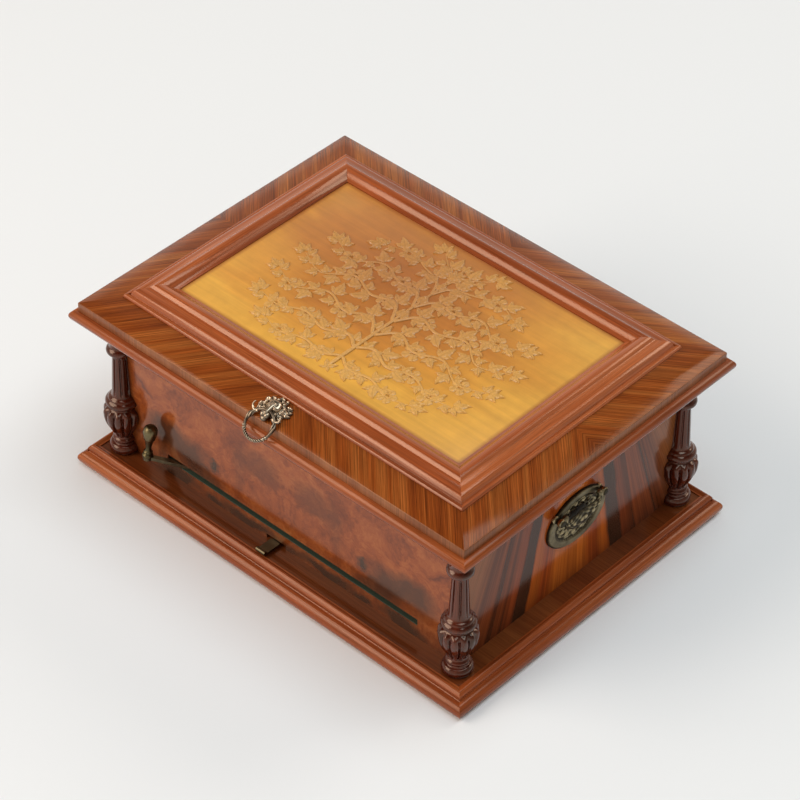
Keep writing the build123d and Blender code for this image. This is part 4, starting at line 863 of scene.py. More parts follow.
# %% The pattern of branches
branches = [  # the points of each branch, foot to tip, and its half width
    ([(0, -78), (18, -88), (42, -84), (66, -92), (94, -86)], 1.9),
    ([(0, -62), (17, -52), (40, -62), (68, -55), (94, -66), (120, -62)], 2.1),
    ([(0, -38), (18, -20), (44, -30), (72, -20), (102, -36), (132, -26)], 2.1),
    ([(0, -12), (16, 10), (42, 4), (70, 14), (98, -4), (130, 8)], 2.1),
    ([(0, 16), (12, 36), (36, 36), (62, 46), (90, 30), (118, 42)], 1.9),
    ([(0, 42), (9, 60), (30, 68), (56, 76), (84, 66)], 1.6),
    ([(0, 60), (5, 76), (18, 86), (32, 98)], 1.3),
]
flowers = [  # centre and reach
    ((45, -30), 11.5), ((96, -66), 11.0), ((70, 14), 11.5), ((108, -37), 10.0), ((92, 31), 10.5),
    ((56, 74), 10.0), ((22, -89), 9.5), ((32, 37), 10.0), ((26, 8), 9.0), ((68, -91), 9.5),
    ((66, -56), 9.5),
]
first_leaf, leaf_every = 9.0, 8.6
flower_clearance = 6.0
ornament, sprigs = [], []
for path, width in branches:
    ornament.append(stem_patch(path, width))
    line = flowing(path, stem_steps)
    ahead = np.gradient(line, axis=0)
    travel = travelled(line)
    spots = np.arange(first_leaf, travel[-1] + 0.5, leaf_every)
    x, y, ahead_x, ahead_y = (np.interp(spots, travel, row) for row in (*line.T, *ahead.T))
    heading = np.arctan2(ahead_y, ahead_x)
    # leaves stand to the left and right in turn, and slow waves vary their bearing and length
    side = np.where(np.arange(len(spots)) % 2 == 0, 1.0, -1.0)
    bearing = heading + side * (1.0 + 0.30 * np.sin(spots * 1.3))
    length = (20.5 - 5.0 * spots / travel[-1]) * (0.92 + 0.2 * np.cos(spots * 1.7))
    sprigs.append(np.column_stack([x, y, bearing, length, -0.45 * side]))
    # three more leaves fan out from the tip
    for lean, reach in ((-0.75, 12.5), (0.0, 15.0), (0.75, 12.5)):
        sprigs.append(np.array([[*line[-1], heading[-1] + lean, reach, 0.0]]))
sprigs = np.concatenate(sprigs)
centres = np.array([centre for centre, _ in flowers], float)
gaps = np.linalg.norm(sprigs[:, None, :2] - centres[None], axis=-1).min(axis=1)
sprigs = sprigs[gaps > flower_clearance]
places, (bearings, lengths, bends) = sprigs[:, :2], sprigs[:, 2:].T
stalk = 0.2 * lengths[:, None] * np.column_stack([np.cos(bearings), np.sin(bearings)])
ornament += leaf_patches(places + stalk * 0.4, bearings, lengths, 0.30, bend=bends, teeth=0.2)
for lean, bend in ((0.95, 0.3), (-0.95, -0.3)):
    ornament += leaf_patches(places + stalk, bearings + lean, lengths * 0.6, 0.31, bend=bend,
                             teeth=0.2)
print(len(sprigs), "sprigs of three leaves on one half")

# %% Flowers and the middle line
petals = 5
for centre, reach in flowers:
    for share, turn_by, fat in ((1.0, 0.3, 0.46), (0.5, 0.93, 0.40)):
        fan = np.arange(petals) * 2 * np.pi / petals + turn_by
        starts = np.array(centre) + 0.10 * reach * np.column_stack([np.cos(fan), np.sin(fan)])
        ornament += leaf_patches(starts, fan, np.full(petals, reach * share), fat, bend=0.0,
                                 teeth=0.04, belly=1.5)
ornament += mirror(ornament)
ornament.append(stem_patch([(0, -98), (0, -60), (0, -20), (0, 20), (0, 60), (0, 88)], 2.3))
for root, count, opening, reach in ((72.0, 5, 0.9, 17.0), (88.0, 3, 0.7, 12.0),
                                    (-98.0, 4, 2.3, 12.0)):
    fan = np.pi / 2 + np.linspace(-opening, opening, count)
    sizes = reach * (1 - 0.15 * abs(fan - np.pi / 2))
    ornament += leaf_patches(np.tile((0.0, root), (count, 1)), fan, sizes, 0.28, bend=0.0)
print(len(ornament), "sheets in the relief")

# %% Relief finish
pressed, tree, shader = start_finish("pressed_relief", Roughness=0.42, Coat_Weight=0.3,
                                     Coat_Roughness=0.3)
vector = object_place(tree)
raised = put(tree, "Attribute", attribute_name="wear_and_shade").outputs["Fac"]
age = spread(tree, oval(tree, vector, *amber_cloud), 0.1, 1.1)
body = ramp(tree, age, ((0.0, (0.44, 0.19, 0.050)), (1.0, (0.64, 0.34, 0.075))))
fleck = noise(tree, vector, 420.0, detail=3.0)
body = shade(tree, body, fleck, 0.3, 0.7, 0.86, 1.1)
# painted shade: where the wear value is low, at leaf edges and veins, under the stems and on the
# strips under the leaves, the colour darkens as the relief's creases would be shaded
hollow = spread(tree, raised, 0.0, 0.5, 0.85, 0.0)
body = blend_colours(tree, hollow, body, (0.17, 0.065, 0.016, 1.0))
cover(tree, shader, body, fleck, 0.00005, 0.3)

relief = join_patches("lid_ornament", ornament, [pressed], crease=80.0)
fit_piece(relief, "lid", "lid_inlay")

# %% [markdown]
# ## Corner posts
#
# A square post closes each corner of the case. The burl of the front runs on across the posts, and
# the upright stripes of the sides do too, so each face of a post takes the veneer of its wall. Each
# post is four upright faces and two ends that close on the post's own middle.

# %% Posts
post_low, post_high = np.array(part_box("corner_posts")) / MM
post_size = 36.0
post_finishes = [front_burl, back_veneer, side_veneer, deck_walnut]
posts = []
for sx in (-1, 1):
    for sy in (-1, 1):
        near, far = (post_high[:2] - post_size) * (sx, sy), post_high[:2] * (sx, sy)
        ring = np.array([(near[0], near[1]), (far[0], near[1]), (far[0], far[1]),
                         (near[0], far[1]), (near[0], near[1])])
        core = np.tile((near + far) / 2, (2, 1))
        for index, finish in enumerate((3, 2, 0 if sy < 0 else 1, 3)):
            edge = ring[index:index + 2]
            rows = ((core, post_low[2]), (edge, post_low[2]),
                    (edge, post_high[2]), (core, post_high[2]))
            rows = [np.column_stack([xy, np.full(2, z)]) for xy, z in rows]
            posts.append(patch(np.stack(rows), finish=finish))
corner_posts = join_patches("corner_posts_veneered", posts, post_finishes, crease=30.0)
fit_piece(corner_posts, "cabinet", "side_veneer", "corner_posts")

# %% [markdown]
# ## Turned and carved columns
#
# Each corner column is turned on a lathe and then carved: flat reeds with dark grooves up the
# shaft, and a ring of petals round the belly. A quarter is cut away so that it fits over the case's
# corner. A plain turning is a profile spun round an axis. Here the radius also depends on the
# bearing, so the carving and the notch are part of the same surface.

# %% Column surface
column_place = (217.3, 155.6)
column_height = case_top - deck_top
column_bearings = 145
petal_count, reed_count = 12, 8
petal_groove, reed_groove = 1.9, 1.5
reed_start, reed_end = 71.8, 115.5
column_profile = np.array([  # height above the deck and radius, foot to top
    (0.0, 13.3), (1.2, 14.6), (3.4, 15.2), (5.2, 15.2), (7.4, 14.5), (9.2, 13.2), (9.8, 12.0),
    (10.2, 10.7), (11.6, 10.2), (12.6, 10.3), (13.2, 11.0), (14.4, 11.5), (15.8, 11.2),
    (16.8, 10.1), (17.6, 9.5), (19.2, 9.4), (22.0, 10.8), (27.0, 13.6), (32.0, 16.0),
    (38.0, 18.2), (43.0, 19.1), (47.0, 19.1), (50.0, 18.4), (52.0, 17.3), (53.5, 15.6),
    (54.6, 14.0), (55.4, 13.4), (56.6, 13.5), (57.6, 14.6), (58.8, 16.0), (60.2, 16.7),
    (61.8, 16.7), (63.4, 16.0), (64.4, 14.9), (65.2, 13.9), (66.4, 13.4), (67.4, 12.4),
    (68.4, 10.9), (69.6, 10.2), (72.0, 9.85), (80.0, 9.45), (90.0, 8.95), (100.0, 8.45),
    (110.0, 7.95), (116.0, 7.7), (118.6, 7.8), (119.6, 8.6), (120.6, 10.0), (121.6, 11.5),
    (122.8, 12.5), (124.6, 12.9), (126.4, 12.6), (127.8, 11.6), (128.8, 10.4), (129.8, 9.8),
    (132.0, 9.5), (135.0, 9.6), (138.0, 10.2), (142.0, 11.4), (146.0, 13.2), (149.0, 14.9),
    (150.0, 15.5), (151.0, 15.6), (159.0, 15.6), (159.6, 15.3), (160.0, 14.6),
])


def ease_in(value, low, high):
    """Goes from 0 to 1 between two limits, level at both ends: t^2 (3 - 2 t)."""
    t = np.clip((value - low) / (high - low), 0, 1)
    return t * t * (3 - 2 * t)


def pitch_share(angle, count):
    """How far a bearing is from the nearest of so many even steps: 0 on it, 1 half a step off."""
    return abs((angle * count / np.pi / 2 + 0.5) % 1.0 * 2 - 1)


def column_patch(towards):
    """The turning's radius at each height, less what is carved away. Between petals, where the
    share of the half pitch nears 1, a groove cuts in, and the petal's shoulder falls earlier. Up
    the shaft, where the share nears 0, narrow grooves between flat reeds begin in round ends.
    Towards the case the radius stops where the ray meets the notch that fits over the corner."""
    profile = flowing(column_profile, 3)
    z, r = profile[:, :1], profile[:, 1:]
    centre = np.array(column_place) * towards
    notch = np.array(column_place) - case_half
    inner = np.pi + np.arctan2(notch[1], notch[0])
    angle = np.linspace(inner - 2 * np.pi, inner, column_bearings)[None]
    share = pitch_share(angle, petal_count)
    top = ease_in(z, 51.0 - 4.5 * share**2, 54.8 - 2.5 * share**2)
    belly = ease_in(z, 17.5, 24.0) * (1 - top)
    carved = belly * (petal_groove * ease_in(share, 0.6, 1.0) + share**2)
    shoulder = ease_in(z, 45.0, 51.5) * (1 - ease_in(z, 52.5, 54.5))
    carved = carved + shoulder * (1.4 * share**2 - (1 - share))
    reed = pitch_share(angle, reed_count)
    start = reed_start + 2.0 * (1 - np.sqrt(np.clip(1 - (reed / 0.3) ** 2, 0, 1)))
    reeds = ease_in(z, start - 0.8, start + 0.8) * (1 - ease_in(z, reed_end, reed_end + 2.0))
    carved = carved + reeds * reed_groove * (1 - ease_in(reed, 0.12, 0.34))
    ray = np.stack([np.cos(angle), np.sin(angle)])
    reach = (notch[:, None, None] / np.clip(-ray, 1e-9, None)).max(axis=0)
    limit = np.where((ray < -1e-9).all(axis=0), reach, 1000.0)
    radius = np.minimum(np.clip(r - carved, 1.0, None), limit)
    x, y = (middle + sign * radius * part for middle, sign, part in zip(centre, towards, ray))
    points = np.stack([x, y, np.broadcast_to(z + deck_top, x.shape)], -1)
    foot, head = ([[[*centre, deck_top + up]] * column_bearings] for up in (0.0, column_height))
    wear_and_shade = np.pad(np.clip(1 - carved / 2.0, 0, 1), ((1, 1), (0, 0)), mode="edge")
    return patch(np.concatenate([foot, points, head]), wear_and_shade=wear_and_shade)


for name, sy in (("front_columns", -1), ("back_columns", 1)):
    pair = [column_patch((sx, sy)) for sx in (-sy, sy)]
    columns = join_patches(name + "_carved", pair, [turned_hardwood], crease=55.0)
    fit_piece(columns, "cabinet", "column_wood", name)

# %% [markdown]
# ## Old bronze and brass
#
# Cast fittings darken in their hollows and stay bright where hands rub them. The pieces made here
# carry a value for wear and painted shade, high on ridges and low in hollows, and the finish mixes
# from nearly black to warm metal by it. On the handle plates the value is also kept low over the
# bowl under the bail, so there it paints the bail's shadow as well as tarnish. Fine noise breaks
# the line up, as tarnish does.

# %% Metal finishes


def old_metal(name, hollow, worn, dull, bright):
    """Dark tarnish in the hollows, and painted shade where a piece's wear value is set low for it,
    and bright metal on the ridges, mixed by that value and noise. The roughness goes from dull to
    bright with it."""
    finish, tree, shader = start_finish(name, Metallic=1.0)
    vector = object_place(tree)
    raised = put(tree, "Attribute", attribute_name="wear_and_shade").outputs["Fac"]
    pits = noise(tree, vector, 1040.0, detail=4.0, roughness=0.7)
    share = figure(tree, "ADD", raised, swing(tree, noise(tree, vector, 70.0), 0.9))
    share = spread(tree, share, 0.25, 0.95)
    colour = blend_colours(tree, share, (*hollow, 1.0), (*worn, 1.0))
    colour = shade(tree, colour, pits, 0.3, 0.7, 0.75, 1.1)
    cover(tree, shader, colour, pits, 0.0001, 0.5, spread(tree, share, 0.0, 1.0, dull, bright))
    return finish


def machine_metal(name, first, second, roughness=0.3, lines=(40.0, 900.0, 40.0)):
    """Working metal: long fine marks left by the tool, and faint cloudy staining."""
    finish, tree, shader = start_finish(name, Metallic=1.0)
    vector = object_place(tree)
    marks = noise(tree, stretch(tree, vector, lines), detail=3.0)
    stain = spread(tree, noise(tree, vector, 45.0), 0.35, 0.7)
    colour = blend_colours(tree, stain, (*first, 1.0), (*second, 1.0))
    colour = shade(tree, colour, marks, 0.3, 0.7, 0.9, 1.05)
    rough = spread(tree, marks, 0.3, 0.7, roughness - 0.06, roughness + 0.1)
    cover(tree, shader, colour, marks, 0.00003, 0.3, rough)
    return finish


green_bronze = old_metal("green_bronze", (0.050, 0.041, 0.026), (0.46, 0.385, 0.225), 0.5, 0.27)
rubbed_brass = old_metal("rubbed_brass", (0.022, 0.014, 0.010), (0.57, 0.455, 0.33), 0.45, 0.20)
knob_brass = old_metal("knob_brass", (0.05, 0.040, 0.018), (0.26, 0.21, 0.11), 0.40, 0.20)
olive_brass = machine_metal("olive_brass", (0.085, 0.070, 0.040), (0.17, 0.14, 0.085), 0.34)
print("metals ready")

# %% [markdown]
# ## Side handles
#
# An oval bronze plate with a broad rim and a leafy bail that hangs over its dished middle. The
# plate is an oval swept from rim to centre with a height for each share of the way. The bail is a
# ribbon bent into a crescent, thick in the middle, whose front is raised into overlapping leaves.

# %% Plate surface
plate_middle = (5.0, 100.0)
plate_half = (41.0, 29.5)
pivot_up, pivot_out = 18.0, 8.0
post_across, post_up = 30.0, 16.0


def on_side(side, across, upward, out):
    """Points on a side of the case: across goes towards the back, upward and out as named."""
    place = (side * (case_half[0] + out), plate_middle[0] + across, plate_middle[1] + upward)
    return np.stack(np.broadcast_arrays(*place), -1)


def plate_patch(side):
    """The oval at share s of the way out: a plain bowl to 0.36, kept dark with tarnish and with
    painted shade for the shadow of the bail that hangs over it, a band of chased leaves to 0.7, a
    fine beaded line and a smooth raised rim, and a flat back. The height is a smooth function of s
    and of the bearing."""
    share = np.concatenate([[0.0], np.linspace(0.02, 0.98, 60), [0.995, 1.0, 1.0, 0.99, 0.0]])
    angle = full_circle(193)
    s = share[:, None] * np.ones_like(angle)
    rim = ease_in(s, 0.70, 0.80) * (1 - ease_in(s, 0.95, 1.0))
    bead = np.exp(-(((s - 0.73) / 0.016) ** 2)) * (0.5 + 0.3 * np.cos(60 * angle))
    band = ease_in(s, 0.36, 0.44) * (1 - ease_in(s, 0.66, 0.71))
    leaves = np.cos(13 * angle + 3.0 * np.sin(9 * s)) * np.cos(20 * (s - 0.55))
    leaves = leaves + 0.4 * np.cos(39 * angle) * np.sin(34 * s)
    chased = band * (0.7 + 0.9 * leaves)
    out = 1.0 + 2.3 * rim + bead + chased
    out[-5], out[-4], out[-3:] = 2.0, 1.0, 0.0
    across, upward = plate_half[0] * s * np.cos(angle), plate_half[1] * s * np.sin(angle)
    # painted shade and tarnish: the wear value stays near 0.05 over the whole bowl, which the
    # finish makes nearly black, standing in for the bail's shadow
    wear_and_shade = np.clip(0.05 + 0.48 * rim + 0.5 * bead + 0.65 * np.clip(chased, 0, 1.6), 0, 1)
    return patch(on_side(side, across, upward, out), wear_and_shade=wear_and_shade)


def spun(profile, count):
    """A profile of (height, radius) spun round its axis: the height and both distances from it."""
    height, radius, angle = profile[:, :1], profile[:, 1:], full_circle(count)
    return np.broadcast_arrays(height, radius * np.cos(angle), radius * np.sin(angle))


def post_patch(side, end):
    """A small turned post that carries the bail's pivot: a radius for each distance out."""
    steps = flowing([(0.5, 4.6), (2.2, 4.4), (3.4, 3.4), (5.0, 3.1), (6.6, 3.9), (8.2, 4.3),
                     (9.9, 3.9), (11.0, 2.4), (11.2, 0.01)], 5)
    out, across, upward = spun(np.vstack([[0.5, 0.01], steps]), 33)
    wear_and_shade = np.clip((np.concatenate([[0.01], steps[:, 1]]) - 2.8) / 1.5, 0, 1)[:, None]
    points = on_side(side, end * post_across + across, post_up + upward, out)
    return patch(points, wear_and_shade=np.broadcast_to(wear_and_shade, out.shape))


def trunnion_patch(side, end):
    """A ball and a short pin where the bail turns in its post, along the pivot line."""
    steps = flowing([(21.0, 0.01), (21.4, 2.0), (23.0, 3.2), (25.0, 3.0), (26.6, 2.0),
                     (27.4, 1.9), (29.8, 1.9), (30.0, 0.01)], 5)
    across, out, upward = spun(np.clip(steps, 0.01, None), 29)
    points = on_side(side, end * across, pivot_up + upward, pivot_out + out)
    return patch(points, wear_and_shade=np.full(across.shape, 0.6))


print("plate", plate_half, "pivot", pivot_up, pivot_out)

# %% Bail surface
bail_reach, bail_drop, bail_lift = 24.2, 19.0, 4.2
bail_thin, bail_swell = 2.4, 6.4
leaf_turns = 13.0


def bail_patch(side):
    """A crescent. For a from -90 to 90 degrees the middle line is reach sin(a) across and
    drop - drop cos(a)^0.8 + lift cos(a)^2 up, and the half width is thin + swell cos(a)^2.2 with
    small lobes. The raised front carries leaf ribs that lean away from the middle: the height is a
    ridge, plus the sine of a leaning share, plus small knobs where a second sine crosses it."""
    t = np.linspace(-1, 1, 145)[:, None]
    a = t * np.pi / 2
    cosine = np.cos(a)
    up = bail_drop - bail_drop * cosine ** 0.8 + bail_lift * cosine ** 2
    line = np.hstack([bail_reach * np.sin(a), up])
    lobes = 0.5 * abs(np.sin(abs(t) * leaf_turns))
    half = (bail_thin + bail_swell * cosine ** 2.2) * (1 + 0.22 * (lobes - 0.25))
    half[0] = half[-1] = tip_half
    angle = full_circle(61)
    v, front = np.cos(angle), np.clip(np.sin(angle), 0, 1)
    lean = np.sin((abs(t) * leaf_turns + 1.9 * abs(v)) * 1.6)
    knobs = lean * np.cos(v * 6.5 + 1.5 * abs(t))
    ribs = (lean * 0.3 + knobs * 0.9) * (1 - abs(v) ** 3)
    depth = np.sin(angle) * 1.9 + front * (ribs + 0.5)
    depth = depth * np.clip(half / bail_thin, 0, 1)
    place = ribbon(line, half * v)
    points = on_side(side, place[..., 0], place[..., 1], pivot_out + depth)
    return patch(points, wear_and_shade=np.clip(0.18 + 0.9 * front * ribs + 0.1 * front, 0, 1))


plates = []
for side in (-1, 1):
    plates += [plate_patch(side), post_patch(side, -1), post_patch(side, 1)]
plates = join_patches("handle_plates_cast", plates, [green_bronze], crease=60.0)
fit_piece(plates, "cabinet", "antique_bronze", "handle_plates")
for side, label in ((-1, "left"), (1, "right")):
    parts = [bail_patch(side), trunnion_patch(side, -1), trunnion_patch(side, 1)]
    bail = join_patches("handle_bail_leafy_" + label, parts, [green_bronze], crease=60.0)
    fit_piece(bail, "handle_" + label, "antique_bronze", "handle_bail_" + label)

# %% [markdown]
# ## The lion pull
#
# A small cast lion holds a ring in its mouth on the lid's front band. A head like this is sculpted
# from round lumps: a domed mane ringed with curling locks, a brow, cheeks, a muzzle in two puffs
# and a chin. Each lump is a ball whose radius is changed by a few soft bumps, and each lock is a
# tapered horn that curls along a spiral.

# %% Head surfaces
mask_place = (-165.8, 206.75)
band_slope = math.radians(11.83)
lock_width, lock_steps = 1.55, 15


def leaned(place, slope, p, q, h):
    """Points on a plane through a place in y and z that rises by a slope: p across, q up the
    plane, h off it."""
    p, q, h = np.broadcast_arrays(p, q, h)
    y = place[0] + q * math.cos(slope) - h * math.sin(slope)
    z = place[1] + q * math.sin(slope) + h * math.cos(slope)
    return np.stack([p, y, z], -1)


def lump(centre, size, bumps=(), rows=25, columns=33):
    """A ball with three half sizes, pushed out or in round some directions: each bump adds its
    height times a bell of the angle between the direction and the bump's own."""
    lift = np.linspace(-np.pi / 2, np.pi / 2, rows)[:, None]
    angle = full_circle(columns)
    ray = (np.cos(lift) * np.cos(angle), np.cos(lift) * np.sin(angle), np.sin(lift))
    ray = np.stack(np.broadcast_arrays(*ray), -1)
    swell = np.ones(ray.shape[:2])
    for direction, height, breadth in bumps:
        direction = np.array(direction) / np.linalg.norm(direction)
        swell = swell + height * np.exp((ray @ direction - 1) / breadth**2)
    body = np.array(centre) + ray * swell[..., None] * np.array(size)
    wear_and_shade = np.clip(0.5 + (swell - 1) * 1.5 + 0.35 * ray[..., 2], 0, 1)
    return patch(leaned(mask_place, band_slope, *np.moveaxis(body, -1, 0)), wear_and_shade=wear_and_shade)


def lock_patch(bearing, base, reach, curl, lift):
    """A lock of the mane: a horn that leaves the head at its bearing and turns by curl on the way,
    arched by lift, with four strands along it made by a small cosine round the section."""
    share = np.linspace(0, 1, lock_steps)
    heading = bearing + curl * share**1.3
    step = np.column_stack([np.cos(heading), np.sin(heading)]) * (reach / (lock_steps - 1))
    line = np.array(base) + np.cumsum(step, 0)
    arch = lift * np.sin(np.pi * np.clip(share * 0.85 + 0.1, 0, 1))
    half = lock_width * np.sin(np.pi * np.clip(share * 0.93 + 0.035, 0, 1)) ** 0.6
    half[0] = half[-1] = tip_half
    angle = full_circle(13)
    section = half[:, None] * (1 + 0.16 * np.cos(4 * angle))
    normal = np.column_stack([-np.sin(heading), np.cos(heading)])
    place = ribbon(line, section * np.cos(angle), normal)
    height = arch[:, None] + section * np.sin(angle)
    wear_and_shade = np.broadcast_to(np.clip(0.35 + 0.55 * np.sin(angle), 0, 1), height.shape)
    points = leaned(mask_place, band_slope, place[..., 0], place[..., 1], height)
    return patch(points, wear_and_shade=wear_and_shade)


both = (1, -1)
head = [
    lump((0, 0.5, 1.2), (14.2, 9.8, 3.4), rows=17),
    lump((0, 1.2, 3.6), (7.2, 6.6, 5.2),
         [*(((s * 0.5, 0.45, 0.75), 0.16, 0.35) for s in both),
          *(((s * 0.36, 0.1, 0.93), -0.2, 0.2) for s in both), ((0, 0.3, 1.0), -0.08, 0.16),
          *(((s * 0.8, -0.3, 0.5), 0.12, 0.3) for s in both)], rows=33, columns=49),
    lump((0, -3.6, 6.9), (2.5, 8.0, 2.6), [((0, -1, 0.3), 0.2, 0.4)]),
    lump((0, -10.4, 8.0), (2.3, 1.5, 1.5)),
    *(lump((s * 2.2, -11.4, 5.8), (2.9, 3.3, 2.9), rows=17, columns=25) for s in both),
    lump((0, -13.8, 3.4), (3.5, 3.1, 2.8), rows=17, columns=25),
    *(lump((s * 6.8, 6.0, 3.6), (2.1, 1.7, 2.0), [((s * 0.3, 0.2, 1), -0.3, 0.35)],
           rows=17, columns=25) for s in both),
    *(lump((s * 2.5, 1.0, 7.7), (0.75, 0.55, 0.6), rows=11, columns=17) for s in both),
]
mane = ((19, (10.2, 7.2), 8.4, 2.4, 0.0, 1.3), (15, (7.2, 5.0), 6.4, 4.8, 0.26, -1.2))
for count, ring_size, reach, lift, turn_by, curl in mane:
    for bearing in (np.arange(count) + 0.5) * 2 * np.pi / count + turn_by:
        base = (ring_size[0] * math.cos(bearing), ring_size[1] * math.sin(bearing) + 0.5)
        shrink = 0.72 if math.sin(bearing) < -0.8 else 1.0
        sense = 1 if bearing % 1.0 < 0.5 else -1
        head.append(lock_patch(bearing, base, reach * shrink, curl * sense, lift))
mask = join_patches("pull_mask_lion", head, [rubbed_brass], crease=70.0)
fit_piece(mask, "lid", "antique_brass", "pull_mask")

# %% Ring surface
ring_pivot = (-174.0, 212.0)
ring_lean = math.radians(38.0)
ring_radius, bar_radius = 15.0, 1.42
scroll_root = np.array([8.5, 4.2])
scroll_length, scroll_width, scroll_steps = 14.5, 1.7, 33


def on_ring(p, q, h):
    """Points in the ring's own plane: p across, q from the pivot down the ring, h off its plane."""
    return leaned(ring_pivot, ring_lean, p, -q, h)


def ring_patch():
    """A round bar bent to a circle. Its radius is thin near the mouth, swells into a leaf on each
    shoulder, gains collars, and at the bottom has the ridges of a rope: the cosine of the bearing
    round the bar plus many times the bearing round the ring."""
    bearing = np.linspace(-np.pi, np.pi, 289)[:, None]
    angle = full_circle(25)
    low = 1 - ease_in(abs(bearing), 0.85, 0.95)
    rope = low * 0.34 * np.cos(3 * angle + 40 * bearing)
    collars = sum(np.exp(-(((abs(bearing) - at) / 0.040) ** 2)) for at in (0.93, 1.10, 2.25))
    leaf = 0.75 * np.exp(-(((abs(bearing) - 1.85) / 0.30) ** 2))
    beads = leaf * 0.45 * np.cos(4 * angle + 9 * abs(bearing))
    bar = bar_radius + 0.8 * collars + rope + leaf + beads
    radius = ring_radius + bar * np.cos(angle)
    points = on_ring(radius * np.sin(bearing), ring_radius + radius * np.cos(bearing),
                     bar * np.sin(angle))
    return patch(points, wear_and_shade=np.clip(0.45 + rope * 1.2 + 0.5 * collars + beads, 0, 1))


def scroll_patch(side):
    """The flaring horn on the ring's shoulder: its heading turns from outward and down to upward
    along its length, so it sweeps out and curls back, and its tip lifts off the ring's plane."""
    share = np.linspace(0, 1, scroll_steps)
    heading = 0.55 - 3.1 * share**1.3
    step = scroll_length / (scroll_steps - 1)
    line = scroll_root + np.cumsum(step * np.column_stack([np.cos(heading), np.sin(heading)]), 0)
    half = scroll_width * (1 - 0.72 * share)
    half[0] = half[-1] = tip_half
    angle = full_circle(17)
    place = ribbon(line, half[:, None] * np.cos(angle))
    lifted = half[:, None] * np.sin(angle) + 2.2 * share[:, None] ** 2
    points = on_ring(side * place[..., 0], place[..., 1], lifted)
    return patch(points, wear_and_shade=np.full(lifted.shape, 0.8))


ring_parts = [ring_patch(), *(scroll_patch(side) for side in both)]
ring = join_patches("pull_ring_roped", ring_parts, [rubbed_brass], crease=70.0)
fit_piece(ring, "ring", "antique_brass", "pull_ring")

# %% [markdown]
# ## The winding knob
#
# A slim pear of brass on a turned neck stands on the end of the lever. It is a plain turning, so
# its surface is a profile of radius against height, spun round its own axis, which leans a little
# towards the case. The foot is flush with the lever.

# %% Knob
knob_size, knob_height, knob_sink = 1.1, 36.2, 0.6
knob_lean, lean_bearing = math.radians(7.2), math.radians(27.0)
lever_pivot_y, lever_reach, lever_bearing = -86.0, 191.5, math.radians(-155.3)
lever_top = 43.8


def knob_patch():
    """A turning whose axis leans by an angle towards a bearing. Each point is laid off along the
    leaning direction, beside it and up, and nothing goes below the lever's top."""
    profile = knob_size * flowing([
        (0.0, 0.01), (0.0, 4.1), (1.4, 4.9), (2.6, 4.6), (3.6, 3.4), (4.4, 3.1), (5.2, 3.9),
        (6.0, 4.0), (6.8, 3.1), (8.6, 2.6), (13.0, 2.75), (18.0, 3.9), (23.0, 5.6),
        (28.0, 6.45), (31.0, 6.3), (33.6, 5.3), (35.4, 3.4), (knob_height, 0.01),
    ], 5)
    profile = np.clip(profile, (0.0, 0.01), (knob_height * knob_size, np.inf))
    height, near, sideways = spun(profile, 65)
    leaning = near * math.cos(knob_lean) + height * math.sin(knob_lean)
    up = height * math.cos(knob_lean) - near * math.sin(knob_lean)
    x = leaning * math.cos(lean_bearing) - sideways * math.sin(lean_bearing)
    y = leaning * math.sin(lean_bearing) + sideways * math.cos(lean_bearing)
    x = lever_reach * math.cos(lever_bearing) + x
    y = lever_reach * math.sin(lever_bearing) + lever_pivot_y + y
    z = np.maximum(lever_top - knob_sink + up, lever_top)
    wear_and_shade = np.broadcast_to(np.clip(profile[:, 1:] / 9, 0, 1), x.shape)
    return patch(np.stack([x, y, z], -1), wear_and_shade=wear_and_shade)


knob = join_patches("lever_knob_pear", [knob_patch()], [knob_brass], crease=50.0)
fit_piece(knob, "lever", "antique_brass", "lever_knob")

# %% [markdown]
# ## Finishes for the frame's own pieces
#
# Everything else keeps the frame's exact solid: flat veneered walls, the deck, the lever and the
# whole movement under the lid. A solid takes a finish by filling its material slots, and its mesh
# stays as it is. The finishes read Object coordinates, so they sit still on every solid.

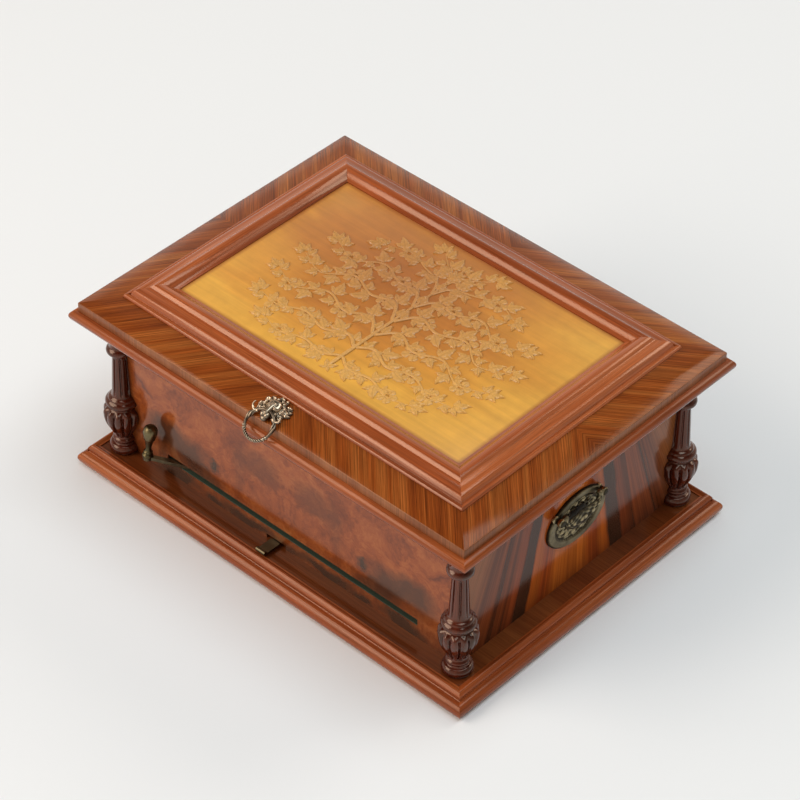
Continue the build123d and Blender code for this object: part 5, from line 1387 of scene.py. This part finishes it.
# %% Cloth and movement finishes
baize, tree, shader = start_finish("green_baize", Roughness=0.95, Sheen_Weight=0.15)
vector = object_place(tree)
nap = noise(tree, vector, 1500.0)
pile = spread(tree, nap, 0.3, 0.7)
worn = spread(tree, noise(tree, vector, 60.0), 0.45, 0.75, 0.0, 0.5)
colour = blend_colours(tree, pile, (0.003, 0.014, 0.006, 1.0), (0.014, 0.046, 0.020, 1.0))
colour = blend_colours(tree, worn, colour, (0.03, 0.035, 0.018, 1.0))
cover(tree, shader, colour, nap, 0.0003, 0.6)

iron_black = machine_metal("cast_bedplate", (0.035, 0.035, 0.038), (0.075, 0.07, 0.065), 0.5)
gear_brass = machine_metal("cut_brass", (0.52, 0.35, 0.12), (0.62, 0.44, 0.18), 0.26)
tool_steel = machine_metal("turned_steel", (0.32, 0.32, 0.33), (0.45, 0.45, 0.45))
comb_steel = machine_metal("comb_steel", (0.46, 0.47, 0.48), (0.58, 0.58, 0.58), 0.24,
                           lines=(900.0, 40.0, 40.0))
disc_steel = machine_metal("punched_disc", (0.50, 0.46, 0.38), (0.60, 0.58, 0.52), 0.28,
                           lines=(300.0, 300.0, 300.0))
hinge_brass = machine_metal("hinge_brass", (0.36, 0.25, 0.10), (0.50, 0.36, 0.15), 0.34)
print("movement finishes ready")

# %% Dress every solid
slot_finish = {
    "deck_wood": deck_walnut,
    "moulding_wood": case_moulding,
    "front_burl": front_burl,
    "side_veneer": side_veneer,
    "column_wood": turned_hardwood,
    "lid_veneer": lid_edge_wood,
    "lid_moulding_wood": moulding_walnut,
    "lid_inlay": golden,
    "lining_felt": baize,
    "antique_bronze": green_bronze,
    "antique_brass": hinge_brass,
    "bedplate_metal": iron_black,
    "gear_brass": gear_brass,
    "tool_steel": tool_steel,
    "spring_steel": comb_steel,
    "disc_steel": disc_steel,
}
own_finish = {
    "back_panel": back_veneer,
    "hinge_case_leaves": hinge_brass,
    "hinge_lid_leaves": hinge_brass,
    "winding_lever": olive_brass,
    "stop_lever": olive_brass,
}
subparts = frame["record"]["subparts"]
for subpart in subparts:
    slots = frame["nodes"][subpart["node"]].data.materials
    slots.clear()
    slots.append(own_finish.get(subpart["node"], slot_finish[subpart["material_slot"]]))
print(len(subparts), "solids dressed")
